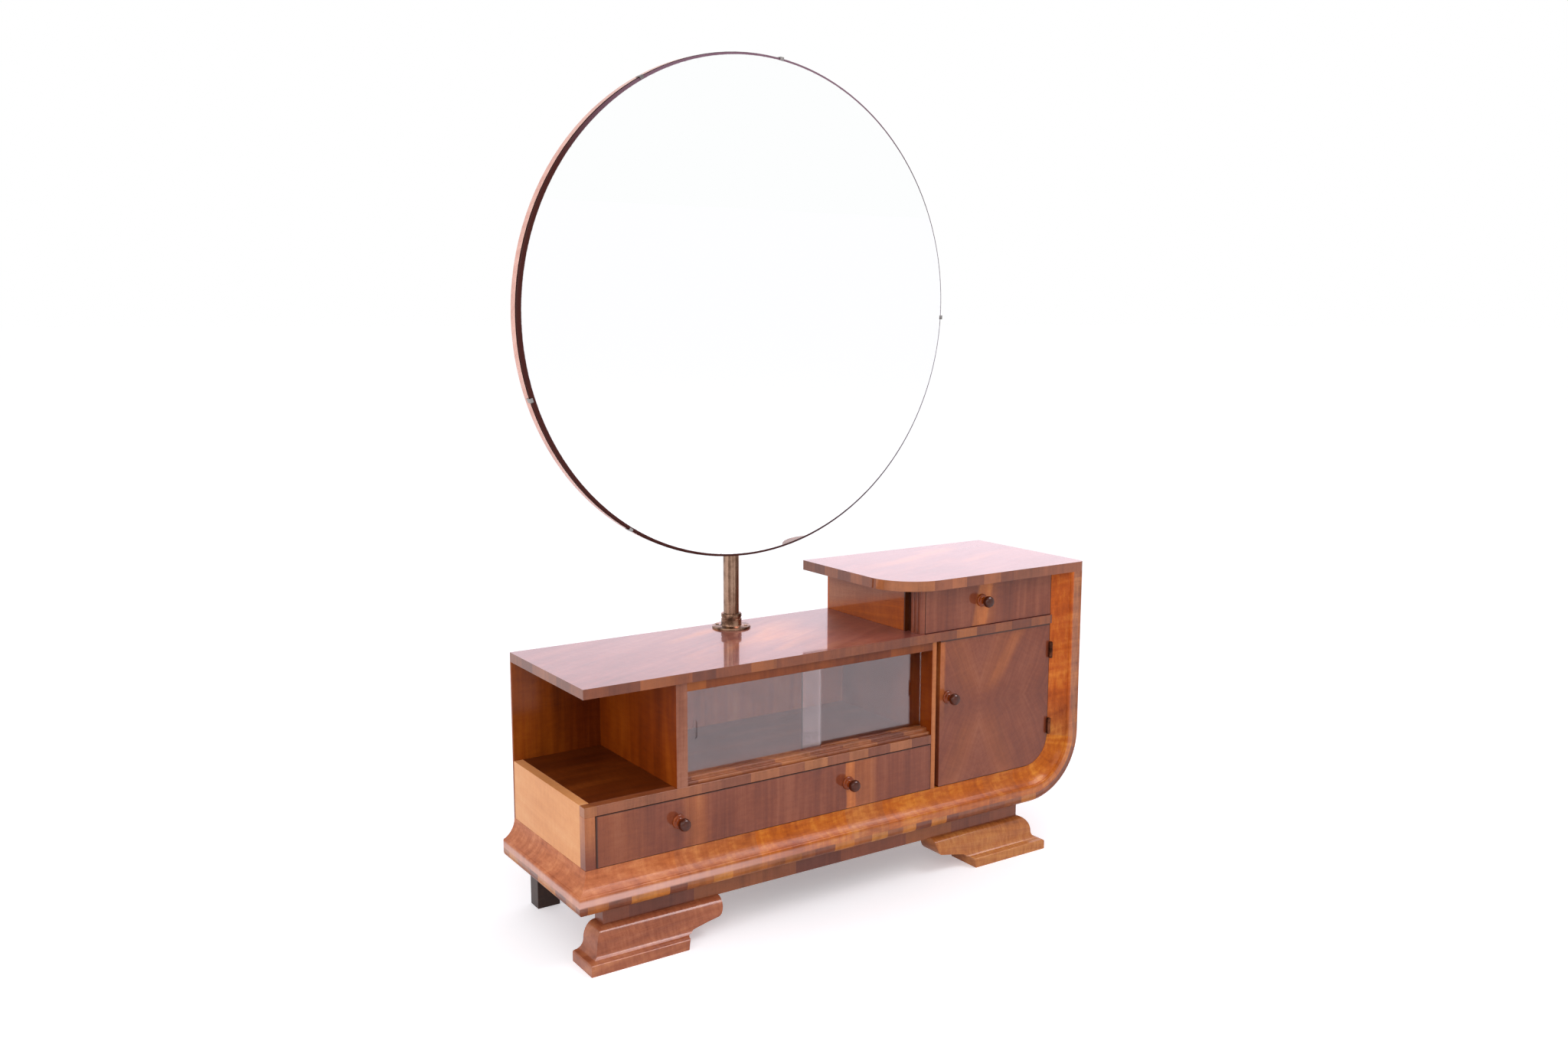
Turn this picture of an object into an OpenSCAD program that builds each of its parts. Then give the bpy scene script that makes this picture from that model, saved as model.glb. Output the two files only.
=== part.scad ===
// Dressing table with a low left side, a raised right cupboard framed by one curved
// moulding, sliding glass panes, two drawers and a round mirror on a single pole.
// X runs right along the front, Y runs to the back, Z runs up. The origin is on the floor,
// under the front left corner of the body.

/* [Body] */
// Width of the body, from its left side to the outside of the curved frame
body_w = 1280; // [1220:10:1400]
// Depth of the body, from the plane of the drawer fronts to the back
body_d = 345; // [330:5:420]
// Thickness of the side panels and of the floor board
panel_t = 20; // [16:1:24]
// Thickness of the inner wall between the cupboard and the curved side
lining_t = 18; // [12:1:22]
// Thickness of the back boards
back_t = 6; // [4:1:10]
// Height of the bay that holds the long lower drawer
drawer_bay_h = 105; // [90:5:140]
// Thickness of the shelf over the long drawer
shelf_t = 20; // [16:1:24]
// Height of the open niche and of the glass bay
display_h = 212; // [180:4:260]
// Thickness of the low top
low_top_t = 20; // [16:1:26]
// How far the low top stands out in front
low_top_out = 5; // [1:1:12]
// Height of the bay that holds the upper drawer
upper_bay_h = 100; // [80:5:130]
// Width of the open niche at the left end
niche_w = 200; // [160:10:260]
// Thickness of the partition beside the niche
partition_t = 25; // [18:1:30]
// Width of the bay behind the glass panes
glass_bay_w = 620; // [560:10:660]
// Thickness of the divider between the glass bay and the cupboard
divider_t = 12; // [10:1:20]
// Width of the stile at the left of the long drawer
stile_w = 22; // [21:1:30]
// Depth of the stile and of the rail over the long drawer
rail_d = 22; // [16:1:30]

/* [Curved front frame] */
// Width of the moulded frame, from its inner to its outer edge
frame_w = 80; // [72:1:90]
// How far the frame stands out in front of the drawers
frame_out = 26; // [20:1:32]
// Depth of the frame behind the drawer fronts' plane
frame_back = 22; // [18:1:30]
// Outer radius of the frame's lower corner
corner_r = 150; // [130:5:180]
// Width of the hollow curve along the inner edge
cove_w = 40; // [34:1:44]
// Radius of the small nose between the hollow curve and the flat face
nose_r = 4.5; // [3:0.5:6]
// Radius of the frame's outer front edge
edge_r = 12; // [6:1:14]

/* [Upper right top] */
// Width of the upper case, from its left side to the outside of the frame
upper_w = 474; // [440:2:500]
// Width of the upper slab
slab_w = 545; // [520:5:620]
// Thickness of the upper slab
slab_t = 22.5; // [18:0.5:26]
// Radius of the slab's rounded front left corner
slab_corner_r = 110; // [60:5:120]
// Thickness of the upper case's left side
upper_side_t = 16; // [12:1:18]
// Depth of the reeded corner post
post_d = 38; // [30:1:44]
// How far the reeds stand proud of the dark groove behind them
post_out = 12; // [8:1:12]
// Depth of the dark groove behind the post
groove_d = 12; // [8:1:16]
// Number of reeds on the corner post
reed_count = 3; // [2:1:4]

/* [Feet] */
// Height of the front feet
foot_h = 76; // [60:1:90]
// Height of the recessed rail on the feet
plinth_h = 39; // [25:1:50]
// Length of a foot on the floor
foot_l = 212; // [180:4:240]
// Length of a foot at its top
foot_top_l = 307; // [270:4:320]
// Depth of a foot on the floor
foot_d = 85; // [78:1:100]
// How far the feet stand out in front of the drawers
foot_out = 40; // [34:1:46]
// How far the left foot stands out beyond the body's left side
foot_left_out = 10; // [4:1:20]
// Distance from the right foot's outer end to the outside of the frame
foot_right_in = 118; // [100:2:140]
// Height of the foot's upright lower edge
foot_lip_h = 22; // [16:1:26]
// Height of the hollow above the lower edge
foot_hollow_h = 19; // [12:1:22]
// How far the top of the foot is set in from its lower edge
foot_set_in = 48; // [44:1:52]
// Depth of the recessed rail on the feet
plinth_d = 35; // [28:1:37]
// Width of a rear leg
leg_w = 50; // [40:1:60]
// Depth of a rear leg
leg_d = 37; // [30:1:45]

/* [Drawers] */
// Gap round the drawer fronts and the door
front_gap = 1; // [0.6:0.1:2]
// Running gap of a drawer on its bed
slide_gap = 0.3; // [0.2:0.1:0.6]
// Gap between a drawer's side and its guide
guide_gap = 1.5; // [1:0.1:2.5]
// Thickness of the drawer fronts and of the door
front_t = 20; // [18:1:24]
// Thickness of the drawer sides and backs
drawer_side_t = 12; // [10:1:15]
// Thickness of the drawer bottoms
drawer_bottom_t = 5; // [4:0.5:8]
// Height of the groove that holds a drawer bottom
drawer_groove_z = 8; // [6:1:12]
// Depth of the groove that holds a drawer bottom
drawer_groove_d = 5; // [3:0.5:6]
// Free depth behind the drawers
drawer_back_gap = 20; // [10:1:40]
// Distance of the long drawer's left knob from the stile
low_knob_in = 181; // [120:1:240]
// Distance between the long drawer's two knobs
low_knob_pitch = 414; // [360:2:460]
// Height of a knob above its drawer's bed
knob_rise = 58; // [40:1:70]
// Distance of the upper drawer's knob from the left end of its bay
up_knob_in = 163; // [120:1:220]

/* [Knobs] */
// Radius of the knob's base
knob_base_r = 14.5; // [10:0.5:18]
// Radius of the knob's head
knob_head_r = 13; // [9:0.5:16]
// How far a knob stands out
knob_out = 33; // [31:1:38]
// Radius of the knob's neck
knob_neck_r = 7; // [5:0.5:8]
// Radius of the knob's screw
knob_screw_r = 2.2; // [1.5:0.1:3]

/* [Door] */
// Distance from the divider to the door's left edge
door_reveal = 11; // [6:1:14]
// Width of the batten that the door closes against
stop_w = 19; // [16:1:24]
// Distance of the door's knob from its left edge
door_knob_in = 23; // [18:1:32]
// Height of the door's knob above the floor board
door_knob_rise = 205; // [160:5:240]
// Radius of a hinge's knuckle
knuckle_r = 4.5; // [3.5:0.5:6]
// Radius of the hinge pin
hinge_pin_r = 2; // [1.5:0.1:2.5]
// Length of a hinge
hinge_l = 36; // [28:2:50]
// Width of a hinge leaf
leaf_w = 17; // [12:1:18]
// Thickness of a hinge leaf
leaf_t = 1.5; // [1:0.1:2]
// Height of the lower hinge's centre above the floor board
hinge_low_rise = 89; // [86:1:110]
// Distance of the upper hinge's centre below the low top
hinge_top_drop = 64; // [50:1:90]

/* [Glass panes] */
// Thickness of a glass pane
pane_t = 5; // [4:0.5:6]
// Width of the front pane, at the left
left_pane_w = 341; // [315:1:380]
// Width of the rear pane, at the right
right_pane_w = 321; // [310:1:360]
// Depth of the front pane's groove behind the drawer fronts' plane
pane_in = 30; // [26:1:40]
// Distance between the two grooves
pane_pitch = 9; // [8:1:12]
// Height of the lower track
track_h = 13; // [10:1:18]
// Height of the rail over the panes
glass_rail_h = 19; // [15:1:26]
// Depth of both tracks, from the front of the panes' bay
track_d = 50; // [48:1:60]
// Depth of the groove in the lower track
low_groove = 4; // [3:0.5:6]
// Depth of the groove in the upper track
up_groove = 9; // [7:0.5:11]

/* [Pole and mirror] */
// Distance of the pole from the body's left side
pole_x = 507; // [480:1:530]
// Distance from the pole's axis back to the back boards
pole_back_in = 43; // [43:1:60]
// Radius of the pole
pole_r = 17.5; // [14:0.5:20]
// Height of the mirror's tilt pin above the low top
pin_rise = 698; // [660:2:760]
// How far the pole stands up above the tilt pin
pole_over = 40; // [34:1:60]
// Radius of the flange at the pole's foot
flange_r = 43; // [36:1:50]
// Thickness of the flange
flange_t = 5; // [4:0.5:8]
// Radius of the collar over the flange
collar_r = 23; // [22:0.5:27]
// Height of the collar
collar_h = 28; // [20:1:40]
// Radius of the mirror's backboard
mirror_r = 527; // [480:5:540]
// How far the glass's edge is set in from the backboard's edge
glass_set_in = 1; // [0.5:0.5:6]
// Thickness of the mirror with its backboard
mirror_t = 27; // [22:1:30]
// Thickness of the mirror's glass
mirror_glass_t = 6; // [4:0.5:8]
// Forward tilt of the mirror as it stands, in degrees
mirror_tilt = 2.8; // [0:0.1:3.2]
// Distance from the pole's axis forward to the tilt pin
pin_forward = 39; // [38:1:44]
// Distance from the tilt pin forward to the mirror's back
mirror_gap = 15; // [13:0.5:20]
// Radius of the tilt pin
tilt_pin_r = 4; // [3:0.5:5]
// Radius of the eye and the ears on the tilt pin
ear_r = 10; // [8:0.5:11]
// Thickness of an ear
ear_t = 6; // [4:0.5:8]
// Width of the arm between the ears
arm_w = 26; // [20:1:28]
// Wall of the ring that turns on the pole
ring_wall = 9; // [6:0.5:10]
// Height of the ring that turns on the pole
ring_h = 50; // [40:2:60]
// Width and height of the plate on the mirror's back
plate_w = 130; // [100:5:160]
// Thickness of the plate on the mirror's back
plate_t = 5; // [4:0.5:7]
// Width of a clip on the mirror's edge
clip_w = 9; // [6:1:16]
// Thickness of a clip
clip_t = 1.5; // [1:0.1:2]
// How far a clip laps over the glass
clip_lap = 4; // [3:0.5:8]

/* [Hidden] */
$fn = 64;

// Heights, from the floor up
base_z = foot_h + plinth_h;
bed_z = base_z + frame_w;
shelf_z = bed_z + drawer_bay_h;
display_z = shelf_z + shelf_t;
low_top_z = display_z + display_h;
table_z = low_top_z + low_top_t;
slab_z = table_z + upper_bay_h;
slab_top_z = slab_z + slab_t;

// Places along the front
frame_in_x = body_w - frame_w;
corner_x = body_w - corner_r;
corner_z = base_z + corner_r;
niche_x = niche_w + partition_t;
divider_x = niche_x + glass_bay_w;
cupboard_x = divider_x + divider_t;
door_x = cupboard_x + door_reveal;
door_end_x = frame_in_x - front_gap;
upper_x = body_w - upper_w;
upper_bay_x = upper_x + upper_side_t;
slab_x = body_w - slab_w;

// How far a cut runs past the face that it opens
over = 1;

// Places front to back
inner_d = body_d - back_t;
floor_z = bed_z - panel_t;
back_rail_t = 18;
back_rail_y = inner_d - back_rail_t;
bearer_t = 22;
foot_right_x = body_w - foot_right_in;
foot_left_x = -foot_left_out;
plinth_x = foot_left_x + foot_set_in;
plinth_end_x = foot_right_x - foot_set_in;
plinth_y = foot_set_in - foot_out;
leg_out = 8;
leg_x = plinth_x - leg_out;
leg_right_x = plinth_end_x + leg_out - leg_w;

// Profile of the frame: first its distance in from the outer edge, then its height
cove_h = frame_out - nose_r;
cove_r = (cove_w * cove_w + cove_h * cove_h) / (2 * cove_h);
cove_angle = 2 * atan(cove_h / cove_w);
nose_u = frame_w - cove_w - nose_r;

// A fine gap between a screw and its hole, and between a pin and its bore
screw_gap = 0.1;
pin_gap = 0.05;
screw_end_gap = 0.2;
hinge_x = frame_in_x - front_gap / 2;
hinge_y = -knuckle_r - slide_gap;
hinge_zs = [bed_z + hinge_low_rise, low_top_z - hinge_top_drop];
hinge_screw_r = 1.6;
hinge_screw_len = 14;
hinge_screw_end = 7;
hinge_screw_rise = hinge_l / 2 - hinge_screw_end;
hinge_screw_y = 10;
pin_cap_t = 1.5;
pin_cap_out = 1;
leaf_y = slide_gap;
leaf_root = 0.5;

// The drawers' hidden sizes, and the strip and batten beside them
drawer_len = inner_d - drawer_back_gap;
drawer_top_gap = 6;
drawer_guide_h = 12;
stop_d = 20;

// The knobs' hidden sizes
knob_base_t = 4;
knob_head_flat = 0.62 * knob_head_r;
knob_screw_in = 12;
knob_screw_head_t = 2;
knob_screw_head_r = 1.8 * knob_screw_r;

// The glass panes and their tracks
pane_z = display_z + track_h - low_groove + slide_gap;
pane_top_z = low_top_z - glass_rail_h + up_groove - low_groove;
groove_gap = 0.6;
rear_pane_in = pane_in + pane_pitch;
pull_w = 9;
pull_h = 38;
pull_in = 34;
pull_deep = 1.5;
track_step_y = 6;
track_edge_y = 16;

// The mirror and its arm
pole_y = inner_d - pole_back_in;
pin_y = pole_y - pin_forward;
pin_z = table_z + pin_rise;
pole_top_z = pin_z + pole_over;
mirror_back = -mirror_gap;
mirror_face = mirror_back - mirror_t;
mirror_glass_r = mirror_r - glass_set_in;
glass_back = mirror_face + mirror_glass_t;
glass_arris = 1.5;
arm_gap = 0.5;
ear_x = arm_w / 2 + arm_gap;
pin_head_r = 7;
pin_head_t = 4;
ring_gap = 0.25;
clip_angles = [7, 91, 212, 251, 330];
clip_leg = 14;
flange_edge = 1;
flange_screw_count = 4;
flange_screw_r = 2;
flange_screw_len = 17;
flange_screw_head_r = 3.8;
flange_screw_head_t = 1.2;
stop_ring_h = 10;
collar_groove_h = 4;
collar_groove_d = 1.5;
collar_groove_rise = 0.55 * collar_h;

// A box between two corners
module board(x0, x1, y0, y1, z0, z1) {
    translate([x0, y0, z0])
        cube([x1 - x0, y1 - y0, z1 - z0]);
}

// A shape drawn in plan, standing between two heights
module in_plan(z0, z1) {
    translate([0, 0, z0])
        linear_extrude(z1 - z0)
            children();
}

// A shape drawn from the front, running between two depths
module in_front_view(y0, y1) {
    translate([0, y1, 0])
        rotate([90, 0, 0])
            linear_extrude(y1 - y0)
                children();
}

// A shape drawn from the side, with Y to the right, running between two places on X
module in_side_view(x0, x1) {
    translate([x0, 0, 0])
        rotate([90, 0, 90])
            linear_extrude(x1 - x0)
                children();
}

// A round bar along X or along Y
module bar_x(x0, x1, y, z, r) {
    translate([x0, y, z])
        rotate([0, 90, 0])
            cylinder(r = r, h = x1 - x0);
}
module bar_y(x, y0, y1, z, r) {
    translate([x, y0, z])
        rotate([-90, 0, 0])
            cylinder(r = r, h = y1 - y0);
}

// Points on an arc of an ellipse
function arc(cx, cy, rx, ry, from, to, steps = 10) = [
    for (i = [0 : steps])
        let (a = from + (to - from) * i / steps)
            [cx + rx * cos(a), cy + ry * sin(a)]
];

// The frame's moulded section
frame_points = concat(
    [[0, -frame_back]],
    arc(edge_r, frame_out - edge_r, edge_r, edge_r, 180, 90, 6),
    arc(nose_u, frame_out - nose_r, nose_r, nose_r, 90, 0, 5),
    arc(frame_w, cove_r, cove_r, cove_r, 270 - cove_angle, 270, 10),
    [[frame_w, -frame_back]]
);

module frame_run(length) {
    rotate([180, -90, 0])
        linear_extrude(length)
            polygon(frame_points);
}

// The region of the plan on one side of the mitre at the front left corner
module mitre_front() {
    far = body_w + body_d;
    in_plan(base_z - over, bed_z + over)
        polygon([[-far, -far], [frame_back, frame_back], [far, frame_back], [far, -far]]);
}
module mitre_side() {
    far = body_w + body_d;
    in_plan(base_z - over, bed_z + over)
        polygon([[-far, -far], [frame_back, frame_back], [frame_back, far], [-far, far]]);
}

module hinge_leaf_slots(x0, x1) {
    for (z = hinge_zs)
        board(x0, x1, -over, leaf_y + leaf_w, z - hinge_l / 2, z + hinge_l / 2);
}

module curved_front_frame() {
    color([0.56, 0.35, 0.25])
        difference() {
            union() {
                intersection() {
                    translate([-frame_out - over, 0, base_z])
                        frame_run(corner_x + frame_out + over);
                    mitre_front();
                }
                translate([corner_x, 0, corner_z])
                    rotate([90, 0, 0])
                        rotate([0, 0, -90])
                            rotate_extrude(angle = 90, $fn = 96)
                                polygon([for (p = frame_points) [corner_r - p.x, p.y]]);
                translate([body_w, 0, corner_z])
                    rotate([0, 0, 180])
                        linear_extrude(slab_z - corner_z)
                            polygon(frame_points);
            }
            hinge_leaf_slots(frame_in_x - over, frame_in_x + leaf_t);
            hinge_screw_holes(1);
        }
}

module base_left_moulding() {
    color([0.64, 0.42, 0.32])
        intersection() {
            translate([0, body_d, base_z])
                rotate([0, 0, -90])
                    frame_run(body_d + frame_out + over);
            mitre_side();
        }
}

module base_back_rail() {
    color([0.35, 0.2, 0.13])
        board(frame_back, plinth_end_x, back_rail_y, inner_d, base_z, floor_z);
}

// Bearers front to back, over the two feet and halfway between them
bearer_xs = [plinth_x, (plinth_x + plinth_end_x - bearer_t) / 2, plinth_end_x - bearer_t];
module base_bearers() {
    color([0.35, 0.2, 0.13])
        for (x = bearer_xs)
            board(x, x + bearer_t, frame_back, back_rail_y, base_z, floor_z);
}

module base_floor() {
    color([0.4, 0.22, 0.14])
        board(frame_back, frame_in_x + lining_t, frame_back, inner_d, floor_z, bed_z);
}

// The space inside the curved right side, drawn from the front
module inside_curve(left) {
    r = corner_r - panel_t;
    translate([left, base_z + panel_t])
        square([corner_x - left, slab_z - base_z - panel_t]);
    translate([left, corner_z])
        square([body_w - panel_t - left, slab_z - corner_z]);
    translate([corner_x, corner_z])
        circle(r, $fn = 96);
}

module curved_side_panel() {
    color([0.5, 0.3, 0.2])
        in_front_view(frame_back, body_d)
            difference() {
                union() {
                    translate([plinth_end_x, base_z])
                        square([corner_x - plinth_end_x, corner_r]);
                    intersection() {
                        translate([corner_x, corner_z])
                            circle(corner_r, $fn = 96);
                        translate([corner_x, base_z])
                            square([corner_r, corner_r]);
                    }
                    translate([corner_x, corner_z])
                        square([corner_r, slab_z - corner_z]);
                }
                inside_curve(plinth_x);
            }
}

// The rail's top carries the base, and its ends stop over the feet
module plinth_rail() {
    color([0.3, 0.17, 0.11])
        board(plinth_x, plinth_end_x, plinth_y, plinth_y + plinth_d, foot_h, base_z);
}

// The foot's moulded edge: how far it is set in, then the height
foot_lip_r = 4;
hollow_w = foot_set_in / 2 - foot_lip_r - 1;
foot_edge = concat(
    [[0, 0]],
    arc(foot_lip_r, foot_lip_h - foot_lip_r, foot_lip_r, foot_lip_r, 180, 90, 4),
    arc(foot_lip_r, foot_lip_h + foot_hollow_h, hollow_w, foot_hollow_h, -90, 0, 6),
    arc(foot_set_in, foot_lip_h + foot_hollow_h, foot_set_in - foot_lip_r - hollow_w,
        foot_h - foot_lip_h - foot_hollow_h, 180, 90, 8)
);

// The foot's inner end: an overhanging bracket with a rounded nose and a small throat
bracket_drop = foot_lip_h + foot_hollow_h;
bracket_nose_w = 13;
throat_w = 12;
throat_h = 10;
throat_z = foot_lip_h - 6;
bracket_root_w = 20;
bracket_root_z = foot_lip_h + 8;
foot_inner = concat(
    arc(foot_top_l - bracket_nose_w, foot_h, bracket_nose_w, foot_h - bracket_drop, 0, -90, 6),
    [[foot_l + bracket_root_w, bracket_root_z]],
    arc(foot_l + throat_w + 2, throat_z, throat_w, throat_h, 90, 180, 5),
    [[foot_l, 0]]
);

module foot() {
    color([0.62, 0.38, 0.25])
        intersection() {
            in_front_view(-foot_out, foot_d - foot_out)
                polygon(concat(foot_edge, foot_inner));
            in_side_view(-over, foot_top_l + over)
                translate([-foot_out, 0])
                    polygon(concat(foot_edge, [[foot_d, foot_h], [foot_d, 0]]));
        }
}
module front_foot_left() {
    translate([foot_left_x, 0, 0])
        foot();
}
module front_foot_right() {
    translate([foot_right_x, 0, 0])
        mirror([1, 0, 0])
            foot();
}

module rear_legs() {
    color([0.22, 0.13, 0.09])
        for (x = [leg_x, leg_right_x])
            board(x, x + leg_w, inner_d - leg_d, inner_d, 0, base_z);
}

module left_side_panel() {
    color([0.85, 0.6, 0.42])
        board(0, panel_t, rail_d, inner_d, bed_z, display_z);
}

module left_stile() {
    color([0.55, 0.35, 0.27])
        board(0, stile_w, 0, rail_d, bed_z, shelf_z);
}

module shelf_rail() {
    color([0.72, 0.45, 0.32])
        board(0, divider_x, 0, rail_d, shelf_z, display_z);
}

module shelf_board() {
    color([0.36, 0.18, 0.08])
        board(panel_t, divider_x, rail_d, inner_d, shelf_z, display_z);
}

// A strip that guides the long drawer beside the left panel
module drawer_guide() {
    color([0.6, 0.45, 0.3])
        board(panel_t, stile_w, rail_d, inner_d, bed_z, bed_z + drawer_guide_h);
}

module low_top() {
    color([0.7, 0.48, 0.4])
        difference() {
            board(0, frame_in_x, -low_top_out, body_d, low_top_z, table_z);
            flange_screw_bars(table_z - flange_screw_len - over, table_z + over,
                              flange_screw_r + screw_gap);
        }
}

module niche_partition() {
    color([0.7, 0.42, 0.28])
        board(niche_w, niche_x, 0, inner_d, display_z, low_top_z);
}

module cupboard_divider() {
    color([0.78, 0.48, 0.28])
        board(divider_x, cupboard_x, 0, inner_d, bed_z, low_top_z);
}

// The batten behind the door's left edge
module door_stop() {
    color([0.3, 0.15, 0.08])
        board(cupboard_x, cupboard_x + stop_w, front_t + slide_gap, front_t + stop_d,
              bed_z, low_top_z);
}

module cupboard_wall() {
    color([0.42, 0.24, 0.15])
        board(frame_in_x, frame_in_x + lining_t, frame_back, inner_d, bed_z, slab_z);
}

// Two grooves, one behind the other, for the panes
module pane_grooves(z0, z1) {
    for (y = [pane_in, rear_pane_in])
        board(niche_x - over, divider_x + over, y - groove_gap, y + pane_t + groove_gap,
              z0, z1);
}

module glass_upper_track() {
    color([0.74, 0.46, 0.3])
        difference() {
            board(niche_x, divider_x, 0, track_d, low_top_z - glass_rail_h, low_top_z);
            pane_grooves(low_top_z - glass_rail_h - over, low_top_z - glass_rail_h + up_groove);
        }
}

// The lower track steps up from the shelf's edge to the panes
module glass_lower_track() {
    color([0.6, 0.36, 0.26])
        difference() {
            union() {
                board(niche_x, divider_x, track_step_y, track_d, display_z,
                      display_z + track_h / 2);
                board(niche_x, divider_x, track_edge_y, track_d, display_z,
                      display_z + track_h);
            }
            pane_grooves(display_z + track_h - low_groove, display_z + track_h + over);
        }
}

// Two back boards: one under the low top, and one behind the upper drawer
module back_boards() {
    color([0.28, 0.14, 0.07]) {
        in_front_view(inner_d, body_d)
            intersection() {
                inside_curve(0);
                translate([0, bed_z])
                    square([body_w, low_top_z - bed_z]);
            }
        board(upper_x, body_w - panel_t, inner_d, body_d, table_z, slab_z);
    }
}

module upper_side_panel() {
    color([0.6, 0.36, 0.22])
        board(upper_x, upper_bay_x, post_d + groove_d, inner_d, table_z, slab_z);
}

// Half-round reeds on the outer face of the corner post
reed_r = post_d / (2 * reed_count);
groove_x = upper_bay_x - post_out / 2 + 1;
module corner_post() {
    color([0.45, 0.25, 0.18])
        in_plan(table_z, slab_z) {
            translate([upper_bay_x - post_out + reed_r, 0])
                square([post_out - reed_r, post_d]);
            translate([groove_x, post_d])
                square([upper_bay_x - groove_x, groove_d]);
            for (i = [0 : reed_count - 1])
                translate([upper_bay_x - post_out + reed_r, (2 * i + 1) * reed_r])
                    circle(reed_r, $fn = 32);
        }
}

module upper_slab() {
    r = slab_corner_r;
    x1 = body_w;
    y0 = -frame_out;
    color([0.72, 0.5, 0.44])
        in_plan(slab_z, slab_top_z) {
            translate([slab_x, y0 + r])
                square([slab_w, body_d - y0 - r]);
            translate([slab_x + r, y0])
                square([slab_w - r - edge_r, r + over]);
            translate([x1 - edge_r - over, y0 + edge_r])
                square([edge_r + over, r]);
            translate([slab_x + r, y0 + r])
                circle(r, $fn = 96);
            translate([x1 - edge_r, y0 + edge_r])
                circle(edge_r);
        }
}

// A hinge: its outer knuckles belong to one leaf, its middle one to the other
knuckle_share = 0.36;
knuckle_mid = hinge_l * knuckle_share;
module knuckle(z0, z1) {
    difference() {
        translate([hinge_x, hinge_y, z0])
            cylinder(r = knuckle_r, h = z1 - z0);
        translate([hinge_x, hinge_y, z0 - over])
            cylinder(r = hinge_pin_r + pin_gap, h = z1 - z0 + 2 * over);
    }
}

// The web from a leaf forward to its knuckle, kept out of the pin's bore
module leaf_web(x0, z0, z1) {
    difference() {
        board(x0, x0 + leaf_t, hinge_y, leaf_y + leaf_root, z0, z1);
        translate([hinge_x, hinge_y, z0 - over])
            cylinder(r = hinge_pin_r + pin_gap, h = z1 - z0 + 2 * over);
    }
}

module frame_leaf(z) {
    zs = [[z - hinge_l / 2, z - knuckle_mid / 2], [z + knuckle_mid / 2, z + hinge_l / 2]];
    board(frame_in_x, frame_in_x + leaf_t, leaf_y, leaf_y + leaf_w, z - hinge_l / 2,
          z + hinge_l / 2);
    for (s = zs) {
        knuckle(s[0], s[1]);
        leaf_web(frame_in_x, s[0], s[1]);
    }
}

module door_leaf(z) {
    half = knuckle_mid / 2 - slide_gap;
    board(door_end_x - leaf_t, door_end_x, leaf_y, leaf_y + leaf_w, z - hinge_l / 2,
          z + hinge_l / 2);
    knuckle(z - half, z + half);
    leaf_web(door_end_x - leaf_t, z - half, z + half);
}

// Screws through a leaf: side is 1 for the frame and -1 for the door
module hinge_screw_bars(side, r, long) {
    x = side > 0 ? frame_in_x : door_end_x;
    for (z = hinge_zs)
        for (dz = [-hinge_screw_rise, hinge_screw_rise])
            bar_x(side > 0 ? x : x - long, side > 0 ? x + long : x, hinge_screw_y, z + dz, r);
}
module hinge_screw_holes(side) {
    hinge_screw_bars(side, hinge_screw_r + screw_gap, hinge_screw_len + screw_end_gap);
}

module hinge_frame_leaves() {
    color([0.35, 0.27, 0.16])
        difference() {
            for (z = hinge_zs)
                frame_leaf(z);
            hinge_screw_holes(1);
        }
}

module hinge_pins() {
    color([0.3, 0.24, 0.15])
        for (z = hinge_zs)
            translate([hinge_x, hinge_y, z - hinge_l / 2]) {
                cylinder(r = hinge_pin_r, h = hinge_l);
                for (dz = [-pin_cap_t, hinge_l])
                    translate([0, 0, dz])
                        cylinder(r = hinge_pin_r + pin_cap_out, h = pin_cap_t);
            }
}

module hinge_frame_screws() {
    color([0.7, 0.6, 0.35])
        hinge_screw_bars(1, hinge_screw_r, hinge_screw_len);
}

// A spring catch under the low top, with a slot that takes the door's tongue
catch_w = 14;
catch_h = 12;
catch_d = 22;
catch_slot_w = 5;
catch_slot_d = 18;
catch_wall = 3;
catch_x = door_x + stop_w + 5;
catch_y = front_t + 10;
tongue_plate_w = 18;
tongue_plate_h = 25;
tongue_t = 1.5;
tongue_w = 2.4;
tongue_top = 5;
module door_catch() {
    color([0.75, 0.62, 0.33])
        difference() {
            board(catch_x, catch_x + catch_w, catch_y, catch_y + catch_d,
                  low_top_z - catch_h, low_top_z);
            board(catch_x + (catch_w - catch_slot_w) / 2,
                  catch_x + (catch_w + catch_slot_w) / 2,
                  catch_y - over, catch_y + catch_slot_d,
                  low_top_z - catch_h - over, low_top_z - catch_wall);
        }
}

module pole() {
    color([0.6, 0.46, 0.38])
        translate([pole_x, pole_y, table_z])
            cylinder(r = pole_r, h = pole_top_z - table_z);
}

// Places of the flange's screws, on a circle between the collar and the rim
flange_screw_pcr = (flange_r + collar_r) / 2;
module flange_screw_bars(z0, z1, r) {
    for (i = [0 : flange_screw_count - 1])
        translate([pole_x, pole_y, z0])
            rotate([0, 0, 45 + 360 * i / flange_screw_count])
                translate([flange_screw_pcr, 0, 0])
                    cylinder(r = r, h = z1 - z0);
}

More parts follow.
